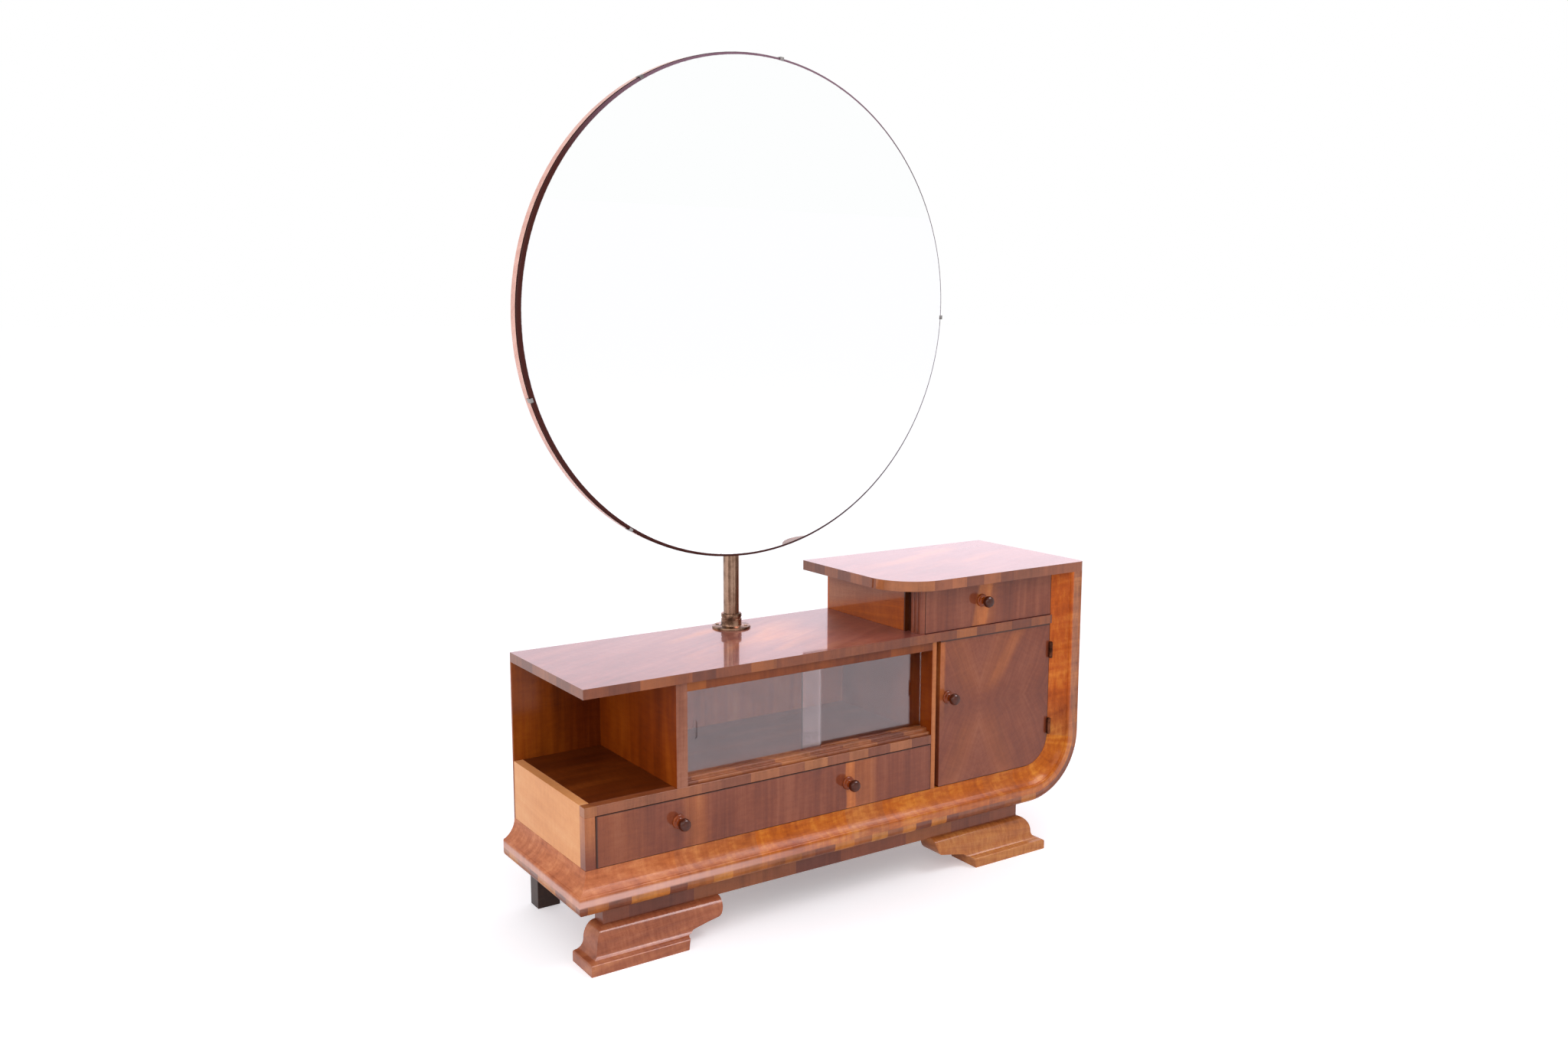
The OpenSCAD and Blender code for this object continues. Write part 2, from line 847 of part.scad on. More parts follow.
// The flange and its collar are one turned piece, with a dark groove round the collar
module pole_flange() {
    color([0.58, 0.44, 0.36])
        difference() {
            translate([pole_x, pole_y, table_z]) {
                cylinder(r = flange_r, h = flange_t - flange_edge);
                translate([0, 0, flange_t - flange_edge])
                    cylinder(r1 = flange_r, r2 = flange_r - flange_edge, h = flange_edge);
                difference() {
                    cylinder(r = collar_r, h = flange_t + collar_h);
                    translate([0, 0, flange_t + collar_groove_rise])
                        difference() {
                            cylinder(r = collar_r + over, h = collar_groove_h);
                            translate([0, 0, -over])
                                cylinder(r = collar_r - collar_groove_d,
                                         h = collar_groove_h + 2 * over);
                        }
                }
            }
            translate([pole_x, pole_y, table_z - over])
                cylinder(r = pole_r + pin_gap, h = flange_t + collar_h + 2 * over);
            flange_screw_bars(table_z - over, table_z + flange_t + over,
                              flange_screw_r + screw_gap);
        }
}

module flange_screws() {
    color([0.75, 0.62, 0.35]) {
        flange_screw_bars(table_z - flange_screw_len, table_z + flange_t, flange_screw_r);
        flange_screw_bars(table_z + flange_t, table_z + flange_t + flange_screw_head_t,
                          flange_screw_head_r);
    }
}

// A ring fixed on the pole, on which the mirror's arm rests and turns
module pole_stop_ring() {
    color([0.7, 0.58, 0.32])
        translate([pole_x, pole_y, pin_z - ring_h / 2 - slide_gap - stop_ring_h])
            difference() {
                cylinder(r = pole_r + ring_wall, h = stop_ring_h);
                translate([0, 0, -over])
                    cylinder(r = pole_r + pin_gap, h = stop_ring_h + 2 * over);
            }
}

// The drawers: a front, two sides, a back and a bottom that fits in grooves
module drawer_groove(x0, x1, z0) {
    z = z0 + drawer_groove_z;
    board(x0, x1, front_t - drawer_groove_d, drawer_len, z, z + drawer_bottom_t);
}

module drawer_sides(x0, x1, z0, z1) {
    in = drawer_side_t - drawer_groove_d;
    difference() {
        for (x = [x0 + guide_gap, x1 - guide_gap - drawer_side_t])
            board(x, x + drawer_side_t, front_t, drawer_len, z0 + slide_gap,
                  z1 - drawer_top_gap);
        drawer_groove(x0 + guide_gap + in, x1 - guide_gap - in, z0);
    }
}

module drawer_back(x0, x1, z0, z1) {
    in = guide_gap + drawer_side_t;
    board(x0 + in, x1 - in, drawer_len - drawer_side_t, drawer_len,
          z0 + drawer_groove_z + drawer_bottom_t, z1 - drawer_top_gap);
}

module drawer_bottom(x0, x1, z0) {
    in = guide_gap + drawer_side_t - drawer_groove_d;
    drawer_groove(x0 + in, x1 - in, z0);
}

module drawer_front(x0, x1, z0, z1, knob_xs) {
    difference() {
        board(x0 + front_gap, x1 - front_gap, 0, front_t, z0 + front_gap, z1 - front_gap);
        drawer_bottom(x0, x1, z0);
        for (x = knob_xs)
            bar_y(x, -over, front_t + over, z0 + knob_rise, knob_screw_r + screw_gap);
    }
}

// A turned knob: a base, a neck and a rounded head
module knob(x, z) {
    flat = knob_head_flat;
    translate([x, 0, z])
        rotate([90, 0, 0])
            difference() {
                union() {
                    cylinder(r = knob_base_r, h = knob_base_t);
                    cylinder(r = knob_neck_r, h = knob_out - flat);
                    translate([0, 0, knob_out - flat])
                        intersection() {
                            sphere(r = knob_head_r);
                            translate([0, 0, -flat])
                                cylinder(r = knob_head_r + over, h = 2 * flat);
                        }
                }
                translate([0, 0, -over])
                    cylinder(r = knob_screw_r + screw_gap,
                             h = knob_screw_in + screw_end_gap + over);
            }
}

module knob_screw(x, z) {
    bar_y(x, -knob_screw_in, front_t, z, knob_screw_r);
    bar_y(x, front_t, front_t + knob_screw_head_t, z, knob_screw_head_r);
}

low_knob_xs = [stile_w + low_knob_in, stile_w + low_knob_in + low_knob_pitch];
up_knob_xs = [upper_bay_x + up_knob_in];

module lower_drawer_front() {
    color([0.53, 0.34, 0.29])
        drawer_front(stile_w, divider_x, bed_z, shelf_z, low_knob_xs);
}
module lower_drawer_sides() {
    color([0.66, 0.5, 0.33])
        drawer_sides(stile_w, divider_x, bed_z, shelf_z);
}
module lower_drawer_back() {
    color([0.62, 0.46, 0.3])
        drawer_back(stile_w, divider_x, bed_z, shelf_z);
}
module lower_drawer_bottom() {
    color([0.7, 0.54, 0.36])
        drawer_bottom(stile_w, divider_x, bed_z);
}
module lower_drawer_knobs() {
    color([0.4, 0.22, 0.12])
        for (x = low_knob_xs)
            knob(x, bed_z + knob_rise);
}
module lower_drawer_knob_screws() {
    color([0.7, 0.68, 0.62])
        for (x = low_knob_xs)
            knob_screw(x, bed_z + knob_rise);
}

module upper_drawer_front() {
    color([0.53, 0.34, 0.29])
        drawer_front(upper_bay_x, frame_in_x, table_z, slab_z, up_knob_xs);
}
module upper_drawer_sides() {
    color([0.66, 0.5, 0.33])
        drawer_sides(upper_bay_x, frame_in_x, table_z, slab_z);
}
module upper_drawer_back() {
    color([0.62, 0.46, 0.3])
        drawer_back(upper_bay_x, frame_in_x, table_z, slab_z);
}
module upper_drawer_bottom() {
    color([0.7, 0.54, 0.36])
        drawer_bottom(upper_bay_x, frame_in_x, table_z);
}
module upper_drawer_knob() {
    color([0.4, 0.22, 0.12])
        knob(up_knob_xs[0], table_z + knob_rise);
}
module upper_drawer_knob_screw() {
    color([0.7, 0.68, 0.62])
        knob_screw(up_knob_xs[0], table_z + knob_rise);
}

// The door, with its lower right corner rounded to follow the frame
door_knob_x = door_x + door_knob_in;
door_knob_z = bed_z + door_knob_rise;
module door_panel() {
    r = corner_r - frame_w - front_gap;
    z0 = bed_z + front_gap;
    z1 = low_top_z - front_gap;
    color([0.52, 0.33, 0.28])
        difference() {
            in_front_view(0, front_t) {
                translate([door_x, z0])
                    square([corner_x - door_x, z1 - z0]);
                translate([door_x, corner_z])
                    square([door_end_x - door_x, z1 - corner_z]);
                translate([corner_x, corner_z])
                    circle(r, $fn = 96);
            }
            hinge_leaf_slots(door_end_x - leaf_t, door_end_x + over);
            hinge_screw_holes(-1);
            bar_y(door_knob_x, -over, front_t + over, door_knob_z, knob_screw_r + screw_gap);
        }
}

module hinge_door_leaves() {
    color([0.35, 0.27, 0.16])
        difference() {
            for (z = hinge_zs)
                door_leaf(z);
            hinge_screw_holes(-1);
        }
}

module hinge_door_screws() {
    color([0.7, 0.6, 0.35])
        hinge_screw_bars(-1, hinge_screw_r, hinge_screw_len);
}

module door_knob() {
    color([0.4, 0.22, 0.12])
        knob(door_knob_x, door_knob_z);
}
module door_knob_screw() {
    color([0.7, 0.68, 0.62])
        knob_screw(door_knob_x, door_knob_z);
}

module door_catch_tongue() {
    x = catch_x + catch_w / 2;
    color([0.75, 0.62, 0.33]) {
        board(x - tongue_plate_w / 2, x + tongue_plate_w / 2, front_t, front_t + tongue_t,
              low_top_z - tongue_top - tongue_plate_h, low_top_z - tongue_top);
        board(x - tongue_w / 2, x + tongue_w / 2, front_t + tongue_t,
              catch_y + catch_slot_d - 6, low_top_z - catch_h, low_top_z - tongue_top);
    }
}

// A pane of glass with a ground finger pull
module glass_pane(x0, width, y, pull_x) {
    difference() {
        board(x0, x0 + width, y, y + pane_t, pane_z, pane_top_z);
        translate([pull_x, y - over, (pane_z + pane_top_z) / 2])
            rotate([-90, 0, 0])
                linear_extrude(pull_deep + over) {
                    translate([-pull_w / 2, -(pull_h - pull_w) / 2])
                        square([pull_w, pull_h - pull_w]);
                    for (s = [-1, 1])
                        translate([0, s * (pull_h - pull_w) / 2])
                            circle(pull_w / 2);
                }
    }
}
module left_glass_pane() {
    color([0.7, 0.74, 0.76, 0.45])
        glass_pane(niche_x + slide_gap, left_pane_w, pane_in, niche_x + pull_in);
}
module right_glass_pane() {
    color([0.7, 0.74, 0.76, 0.45])
        glass_pane(divider_x - slide_gap - right_pane_w, right_pane_w, rear_pane_in,
                   divider_x - pull_in);
}

// The arm: a ring on the pole and a forward eye for the tilt pin
module mirror_swivel_arm() {
    color([0.7, 0.58, 0.32])
        difference() {
            union() {
                translate([pole_x, pole_y, pin_z - ring_h / 2])
                    cylinder(r = pole_r + ring_wall, h = ring_h);
                board(pole_x - arm_w / 2, pole_x + arm_w / 2, pin_y, pole_y - pole_r,
                      pin_z - ear_r, pin_z + ear_r);
                bar_x(pole_x - arm_w / 2, pole_x + arm_w / 2, pin_y, pin_z, ear_r);
            }
            translate([pole_x, pole_y, pin_z - ring_h / 2 - over])
                cylinder(r = pole_r + ring_gap, h = ring_h + 2 * over);
            bar_x(pole_x - arm_w / 2 - over, pole_x + arm_w / 2 + over, pin_y, pin_z,
                  tilt_pin_r + pin_gap);
        }
}

// The pin lies through the eye and both ears, with a head at each end
module mirror_tilt_pin() {
    half = ear_x + ear_t + slide_gap;
    color([0.78, 0.65, 0.36]) {
        bar_x(pole_x - half, pole_x + half, pin_y, pin_z, tilt_pin_r);
        bar_x(pole_x - half - pin_head_t, pole_x - half, pin_y, pin_z, pin_head_r);
        bar_x(pole_x + half, pole_x + half + pin_head_t, pin_y, pin_z, pin_head_r);
    }
}

// The mirror is drawn upright round the tilt pin and then leaned forward
module leaned() {
    translate([pole_x, pin_y, pin_z])
        rotate([mirror_tilt, 0, 0])
            children();
}

module mirror_disc(y0, y1, r) {
    translate([0, y0, 0])
        rotate([-90, 0, 0])
            cylinder(r = r, h = y1 - y0, $fn = 180);
}

// The round backboard that carries the glass on its face
module mirror_backboard() {
    color([0.72, 0.45, 0.38])
        leaned()
            mirror_disc(glass_back, mirror_back, mirror_r);
}

// The plate on the mirror's back, with its two ears on the tilt pin
module mirror_plate() {
    color([0.7, 0.58, 0.32])
        leaned()
            difference() {
                union() {
                    board(-plate_w / 2, plate_w / 2, mirror_back, mirror_back + plate_t,
                          -plate_w / 2, plate_w / 2);
                    for (x = [-ear_x - ear_t, ear_x]) {
                        board(x, x + ear_t, mirror_back, 0, -ear_r, ear_r);
                        bar_x(x, x + ear_t, 0, 0, ear_r);
                    }
                }
                bar_x(-ear_x - ear_t - over, ear_x + ear_t + over, 0, 0,
                      tilt_pin_r + pin_gap);
            }
}

// The glass, with a narrow ground arris round its front edge
module mirror_glass() {
    color([0.82, 0.85, 0.88])
        leaned() {
            mirror_disc(mirror_face + glass_arris, glass_back, mirror_glass_r);
            translate([0, mirror_face, 0])
                rotate([-90, 0, 0])
                    cylinder(r1 = mirror_glass_r - glass_arris, r2 = mirror_glass_r,
                             h = glass_arris, $fn = 180);
        }
}

// Small clips over the edge of the glass, at clock angles seen from the front
module mirror_clips() {
    color([0.75, 0.73, 0.68])
        leaned()
            for (a = clip_angles)
                rotate([0, a, 0]) {
                    board(-clip_w / 2, clip_w / 2, mirror_face - clip_t, mirror_face,
                          mirror_glass_r - clip_lap, mirror_r + clip_t);
                    board(-clip_w / 2, clip_w / 2, mirror_face, mirror_face + clip_leg,
                          mirror_r, mirror_r + clip_t);
                }
}

curved_front_frame();
base_left_moulding();
base_back_rail();
base_bearers();
base_floor();
curved_side_panel();
plinth_rail();
front_foot_left();
front_foot_right();
rear_legs();
left_side_panel();
left_stile();
shelf_rail();
shelf_board();
drawer_guide();
low_top();
niche_partition();
cupboard_divider();
door_stop();
cupboard_wall();
glass_upper_track();
glass_lower_track();
back_boards();
upper_side_panel();
corner_post();
upper_slab();
hinge_frame_leaves();
hinge_pins();
hinge_frame_screws();
door_catch();
pole();
pole_flange();
flange_screws();
pole_stop_ring();
lower_drawer_front();
lower_drawer_sides();
lower_drawer_back();
lower_drawer_bottom();
lower_drawer_knobs();
lower_drawer_knob_screws();
upper_drawer_front();
upper_drawer_sides();
upper_drawer_back();
upper_drawer_bottom();
upper_drawer_knob();
upper_drawer_knob_screw();
door_panel();
hinge_door_leaves();
hinge_door_screws();
door_knob();
door_knob_screw();
door_catch_tongue();
left_glass_pane();
right_glass_pane();
mirror_swivel_arm();
mirror_tilt_pin();
mirror_plate();
mirror_backboard();
mirror_glass();
mirror_clips();
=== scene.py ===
import logging
import math
from collections.abc import Mapping, Sequence
from dataclasses import dataclass
from enum import Enum
from typing import NamedTuple

import bmesh
import bpy
from mathutils import Matrix, Vector


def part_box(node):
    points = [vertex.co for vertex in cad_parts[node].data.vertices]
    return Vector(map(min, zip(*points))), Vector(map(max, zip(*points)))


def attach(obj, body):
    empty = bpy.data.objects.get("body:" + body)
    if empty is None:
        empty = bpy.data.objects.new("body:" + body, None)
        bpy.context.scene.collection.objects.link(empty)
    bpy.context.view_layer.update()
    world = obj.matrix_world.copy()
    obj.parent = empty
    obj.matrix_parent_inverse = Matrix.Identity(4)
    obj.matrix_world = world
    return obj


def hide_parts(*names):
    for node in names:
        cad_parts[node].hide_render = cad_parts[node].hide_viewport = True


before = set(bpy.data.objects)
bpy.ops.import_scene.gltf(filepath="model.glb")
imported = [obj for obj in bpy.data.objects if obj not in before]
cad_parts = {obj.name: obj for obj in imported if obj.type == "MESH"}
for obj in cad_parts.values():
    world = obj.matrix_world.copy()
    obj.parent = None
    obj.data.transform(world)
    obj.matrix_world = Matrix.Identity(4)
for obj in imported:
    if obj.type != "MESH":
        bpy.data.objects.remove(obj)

log = logging.getLogger("dressing_table")

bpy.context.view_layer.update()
# From these angles up, in degrees, an edge of a turned piece stays sharp and one of a
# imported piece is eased.
SHARP_ANGLE = 35.0
EASED_ANGLE = 32.0
# Points closer than this, in metres, are one point.
WELD = 0.00002


class Tint(NamedTuple):
    """A colour as a painter reads it off a card: red, green and blue from 0 to 255."""

    red: int
    green: int
    blue: int

    @staticmethod
    def _decode(value: int) -> float:
        """One part of the colour in the linear values that a shader takes."""
        part = value / 255.0
        return part / 12.92 if part <= 0.04045 else ((part + 0.055) / 1.055) ** 2.4

    @property
    def linear(self) -> tuple[float, float, float, float]:
        """The colour as a shader socket takes it, opaque."""
        return (self._decode(self.red), self._decode(self.green), self._decode(self.blue), 1.0)


class Axis(Enum):
    """A direction of the object."""

    X = "along the front"
    Y = "towards the back"
    Z = "up"


class Signal:
    """One output of a shader node. Sums and products of it add Math nodes."""

    def __init__(self, graph: "NodeGraph", socket: bpy.types.NodeSocket) -> None:
        """Hold the socket and the graph that it belongs to."""
        self.graph = graph
        self.socket = socket

    def _math(self, operation: str, *terms: "Signal | float", clamp: bool = False) -> "Signal":
        """Add one Math node on the terms, in their order."""
        settings = {"operation": operation, "use_clamp": clamp}
        return self.graph.node("ShaderNodeMath", settings, dict(enumerate(terms)))

    def __add__(self, other: "Signal | float") -> "Signal":
        """self + other."""
        return self._math("ADD", self, other)

    __radd__ = __add__

    def __mul__(self, other: "Signal | float") -> "Signal":
        """self * other."""
        return self._math("MULTIPLY", self, other)

    __rmul__ = __mul__

    def __sub__(self, other: "Signal | float") -> "Signal":
        """self - other."""
        return self._math("SUBTRACT", self, other)

    def __rsub__(self, other: "Signal | float") -> "Signal":
        """other - self."""
        return self._math("SUBTRACT", other, self)

    def __abs__(self) -> "Signal":
        """The distance of self from zero."""
        return self._math("ABSOLUTE", self)

    def over(self, floor: "Signal | float") -> "Signal":
        """The larger of self and floor."""
        return self._math("MAXIMUM", self, floor)

    def under(self, ceiling: "Signal | float") -> "Signal":
        """The smaller of self and ceiling."""
        return self._math("MINIMUM", self, ceiling)

    def root(self) -> "Signal":
        """The square root of self."""
        return self._math("SQRT", self)

    def angle(self, other: "Signal") -> "Signal":
        """The angle whose opposite side is self and whose near side is other."""
        return self._math("ARCTAN2", self, other)

    def clamped(self) -> "Signal":
        """Self, held between 0 and 1."""
        return self._math("ADD", self, 0.0, clamp=True)

    def ramp_up(self, start: float, end: float) -> "Signal":
        """A smooth step on self.

        Args:
            start: the value at which the step is still 0.
            end: the value from which it is 1. It may lie below start.

        Returns:
            A value from 0 to 1.
        """
        settings = {"interpolation_type": "SMOOTHSTEP"}
        if start < end:
            return self.graph.node("ShaderNodeMapRange", settings, {0: self, 1: start, 2: end})
        return self.graph.node("ShaderNodeMapRange", settings,
                               {0: self, 1: end, 2: start, 3: 1.0, 4: 0.0})


class NodeGraph:
    """The nodes of one material or sky, with the few kinds that are used here."""

    def __init__(self, owner: "bpy.types.Material | bpy.types.World") -> None:
        """Start with none of the owner's nodes.

        Args:
            owner: the material or the sky that the nodes belong to.
        """
        self.owner = owner
        owner.use_nodes = True
        self.tree = owner.node_tree
        self.tree.nodes.clear()

    @classmethod
    def named(cls, name: str) -> "NodeGraph":
        """The empty graph of a new material."""
        return cls(bpy.data.materials.new(name))

    def node(self, kind: str, settings: Mapping[str, object] | None = None,
             inputs: Mapping[int | str, object] | None = None,
             output: int | str = 0) -> Signal:
        """Add one node.

        Args:
            kind: the node's type.
            settings: what is set on it first. "stops" fills a ramp.
            inputs: a value or a Signal for each socket, by its place or its name.
            output: the socket that is handed back.

        Returns:
            That output.
        """
        made = self.tree.nodes.new(kind)
        for key, value in (settings or {}).items():
            if key == "stops":
                self._fill_ramp(made, value)
            else:
                setattr(made, key, value)
        for key, value in (inputs or {}).items():
            target = made.inputs[key]
            if isinstance(value, Signal):
                self.tree.links.new(value.socket, target)
            else:
                target.default_value = value
        return Signal(self, made.outputs[output] if made.outputs else None)

    @staticmethod
    def _fill_ramp(made: bpy.types.Node, stops: Sequence[tuple[float, Tint]]) -> None:
        """Give a ramp its stops.

        Args:
            made: the ramp.
            stops: a place from 0 to 1 and a colour for each stop.
        """
        elements = made.color_ramp.elements
        while len(elements) < len(stops):
            elements.new(1.0)
        for element, (place, tint) in zip(elements, stops):
            element.position = place
            element.color = tint.linear

    def _split(self, output: str) -> tuple[Signal, Signal, Signal]:
        """Take one output of Texture Coordinate apart.

        Args:
            output: its name.

        Returns:
            Its x, y and z.
        """
        spot = self.node("ShaderNodeTexCoord", output=output)
        split = self.node("ShaderNodeSeparateXYZ", inputs={0: spot})
        x, y, z = (Signal(self, part) for part in split.socket.node.outputs)
        return x, y, z

    def place(self) -> tuple[Signal, Signal, Signal]:
        """Where a point of the object lies at rest, in metres: its x, y and z."""
        return self._split("Object")

    def facing(self) -> tuple[Signal, Signal, Signal]:
        """The x, y and z of the way that the surface faces."""
        return self._split("Normal")

    def seen(self) -> Signal:
        """Tell what the camera sees from what only lights the object.

        Returns:
            1 where it is seen straight, in a reflection or through glass, else 0.
        """
        path = self.node("ShaderNodeLightPath").socket.node.outputs
        camera, glossy, through = (Signal(self, path[name]) for name in (
            "Is Camera Ray", "Is Glossy Ray", "Is Transmission Ray"))
        return (camera + glossy + through).clamped()

    def join(self, x: "Signal | float", y: "Signal | float", z: "Signal | float") -> Signal:
        """One vector of three values."""
        return self.node("ShaderNodeCombineXYZ", inputs={0: x, 1: y, 2: z})

    def noise(self, spot: tuple["Signal | float", ...], detail: float = 2.0,
              roughness: float = 0.5) -> Signal:
        """Cloudy noise.

        Args:
            spot: the point, already scaled.
            detail: how many finer waves it has.
            roughness: how strong the finer waves are.

        Returns:
            A value from 0 to 1, mostly near 0.5.
        """
        return self.node("ShaderNodeTexNoise", {"noise_dimensions": "3D"},
                         {"Vector": self.join(*spot), "Scale": 1.0, "Detail": detail,
                          "Roughness": roughness})

    def cloud(self, scale: float, detail: float = 2.0, roughness: float = 0.5) -> Signal:
        """Noise through the object at rest, with about so many clouds in a metre."""
        x, y, z = self.place()
        return self.noise((x * scale, y * scale, z * scale), detail, roughness)

    def line_noise(self, spot: Signal, detail: float) -> Signal:
        """Noise along one line, from 0 to 1, mostly near 0.5."""
        return self.node("ShaderNodeTexNoise", {"noise_dimensions": "1D"},
                         {"W": spot, "Scale": 1.0, "Detail": detail})

    def block(self, spot: Signal) -> Signal:
        """Cut a line into cells of uneven width.

        Args:
            spot: the place on the line, on which a cell is about 1 long.

        Returns:
            One chance value, from 0 to 1, for each cell.
        """
        cell = self.node("ShaderNodeTexVoronoi", {"voronoi_dimensions": "1D"},
                         {"W": spot, "Scale": 1.0, "Randomness": 0.8}, output="Color")
        return self.node("ShaderNodeSeparateColor", inputs={0: cell})

    def ramp(self, value: Signal, stops: Sequence[tuple[float, Tint]]) -> Signal:
        """A colour from a value by way of stops."""
        return self.node("ShaderNodeValToRGB", {"stops": stops}, {0: value})

    def blend(self, share: "Signal | float", base: "Signal | Tint", top: "Signal | Tint",
              way: str = "MIX") -> Signal:
        """Lay one colour over another.

        Args:
            share: how much of the top colour shows, 0 to 1.
            base: the colour below.
            top: the colour above.
            way: how they blend, as the Mix node names it.

        Returns:
            The blended colour.
        """
        below = base.linear if isinstance(base, Tint) else base
        above = top.linear if isinstance(top, Tint) else top
        settings = {"data_type": "RGBA", "blend_type": way, "clamp_factor": True}
        return self.node("ShaderNodeMix", settings, {0: share, 6: below, 7: above}, output=2)

    def bump(self, height: Signal, rise: float, strength: float) -> Signal:
        """A normal from a height of 0 to 1 that stands for that rise, in metres."""
        return self.node("ShaderNodeBump", inputs={
            "Strength": strength, "Distance": rise, "Height": height})

    def surface(self, shader: Signal) -> "bpy.types.Material | bpy.types.World":
        """Send a shader to the output.

        Args:
            shader: the shader.

        Returns:
            The material or the sky that the nodes belong to.
        """
        world = isinstance(self.owner, bpy.types.World)
        kind = "ShaderNodeOutputWorld" if world else "ShaderNodeOutputMaterial"
        self.node(kind, inputs={"Surface": shader})
        return self.owner


class Mark(NamedTuple):
    """Noise in a wood: its waves in a metre along the fibre and across, its fineness, its share."""

    along: float
    across: float
    detail: float = 2.0
    roughness: float = 0.5
    share: float = 1.0


class Place(NamedTuple):
    """A point in a wood: along its fibre, and at two right angles to it, in metres."""

    length: Signal
    width: Signal
    depth: Signal

    def noise(self, mark: Mark) -> Signal:
        """The noise of a mark at the point, from 0 to 1."""
        spot = (self.length * mark.along, self.width * mark.across, self.depth * mark.across)
        return self.length.graph.noise(spot, mark.detail, mark.roughness)


@dataclass(frozen=True)
class Species:
    """The colours and the scale of one wood, from its dark late wood to its light early wood."""

    dark: Tint
    middle: Tint
    light: Tint
    ring: float = 0.016
    figure: float = 1.0
    mottle: float = 0.25
    pore_depth: float = 0.5


FRONT_WALNUT = Species(Tint(96, 42, 28), Tint(128, 63, 40), Tint(154, 86, 58))
SAP_WALNUT = Species(Tint(150, 78, 30), Tint(192, 106, 48), Tint(220, 142, 74))
ORANGE_WALNUT = Species(Tint(146, 62, 8), Tint(188, 96, 20), Tint(220, 138, 46), mottle=0.6)
FLAME_WALNUT = Species(Tint(148, 58, 12), Tint(190, 86, 22), Tint(220, 126, 46), mottle=0.5)
ROSY_WALNUT = Species(Tint(154, 84, 54), Tint(194, 116, 80), Tint(220, 146, 108), mottle=0.4)
BROWN_WALNUT = Species(Tint(92, 38, 22), Tint(132, 63, 37), Tint(166, 92, 56))
EDGE_WALNUT = Species(Tint(112, 54, 26), Tint(158, 88, 48), Tint(196, 122, 70))
FOOT_WALNUT = Species(Tint(122, 58, 36), Tint(165, 93, 62), Tint(196, 124, 84), mottle=0.5)
RIGHT_FOOT_WALNUT = Species(Tint(128, 66, 30), Tint(176, 103, 50), Tint(206, 138, 74), mottle=0.6)
PALE_WALNUT = Species(Tint(206, 130, 74), Tint(230, 158, 100), Tint(242, 182, 128), ring=0.03,
                      figure=0.7, pore_depth=0.3)
TOP_WALNUT = Species(Tint(92, 38, 32), Tint(126, 62, 52), Tint(158, 92, 76), ring=0.03,
                     figure=0.9)
STILE_WALNUT = Species(Tint(132, 68, 34), Tint(178, 104, 60), Tint(206, 134, 82))
RECESS_WALNUT = Species(Tint(141, 72, 44), Tint(179, 106, 71), Tint(205, 134, 92))
# Painted reflection: the amber that the upper side panel shows below a leaning line.
AMBER_PAINTED_REFLECTION = Species(Tint(140, 53, 2), Tint(184, 87, 5), Tint(214, 120, 26))
DARK_STAIN = Species(Tint(34, 20, 15), Tint(54, 33, 25), Tint(78, 50, 38))
# The mirror rim's wood, lightened to pale pink by a painted reflection of the pale room.
RIM_WALNUT_AND_PAINTED_REFLECTION = Species(Tint(208, 148, 134), Tint(234, 180, 166), Tint(246, 202, 190))
KNOB_STAIN = Species(Tint(48, 16, 6), Tint(74, 27, 10), Tint(106, 45, 20))
NICHE_WALNUT = Species(Tint(96, 32, 2), Tint(134, 54, 4), Tint(164, 78, 14))
FLOOR_WALNUT = Species(Tint(68, 22, 4), Tint(100, 42, 9), Tint(136, 68, 22))
NICHE_BACK_WALNUT = Species(Tint(106, 43, 4), Tint(146, 68, 8), Tint(176, 93, 20))
PARTITION_EDGE = Species(Tint(106, 58, 42), Tint(145, 89, 68), Tint(178, 120, 96))
SHADED_WALNUT = Species(Tint(78, 24, 2), Tint(108, 40, 4), Tint(136, 60, 10))
BAY_WALNUT = Species(Tint(170, 74, 20), Tint(206, 96, 34), Tint(222, 124, 54))
BEECH = Species(Tint(158, 112, 70), Tint(192, 148, 100), Tint(212, 172, 124), ring=0.02,
                figure=0.6, mottle=0.1, pore_depth=0.25)


@dataclass(frozen=True)
class Grain:
    """How the wood lies in a piece: its fibre runs along one axis, leaning towards another."""

    along: Axis = Axis.X
    lean: float = 0.0

    def place(self, graph: NodeGraph) -> Place:
        """Find the point in the wood.

        Args:
            graph: the material's nodes.

        Returns:
            The point's place along the fibre and across it.
        """
        x, y, z = graph.place()
        length, width, depth = {Axis.X: (x, z, y), Axis.Y: (y, z, x),
                                Axis.Z: (z, x, y)}[self.along]
        if self.lean:
            turn = math.radians(self.lean)
            turned = length * math.cos(turn) + width * math.sin(turn)
            width = width * math.cos(turn) - length * math.sin(turn)
            length = turned
        return Place(length, width, depth)


DRIFT = Mark(1.9, 6.0, share=0.06)
CLOUD = Mark(3.6, 12.0, 2.5, 0.55, 0.95)
STREAK = Mark(7.0, 150.0, 2.0, 0.6, 0.24)
FIBRE = Mark(22.0, 620.0, 3.0, 0.6, 0.22)
FLECK = Mark(120.0, 34.0, 2.0, 0.6)
PORE = Mark(130.0, 2100.0, 1.0)
# The rings' fineness, their share in the tone, and how much they slant into the depth.
RING_DETAIL, RING_SHARE, RING_SLANT = 1.6, 0.32, 0.4
# The noise from which on a pore shows and is full, and how deep a pore is, in metres.
PORE_EDGE = (0.62, 0.74)
PORE_DEPTH = 0.0001
# Where the dark, the middle and the light colour of a wood stand on its tone.
TONE_STOPS = (0.16, 0.5, 0.84)


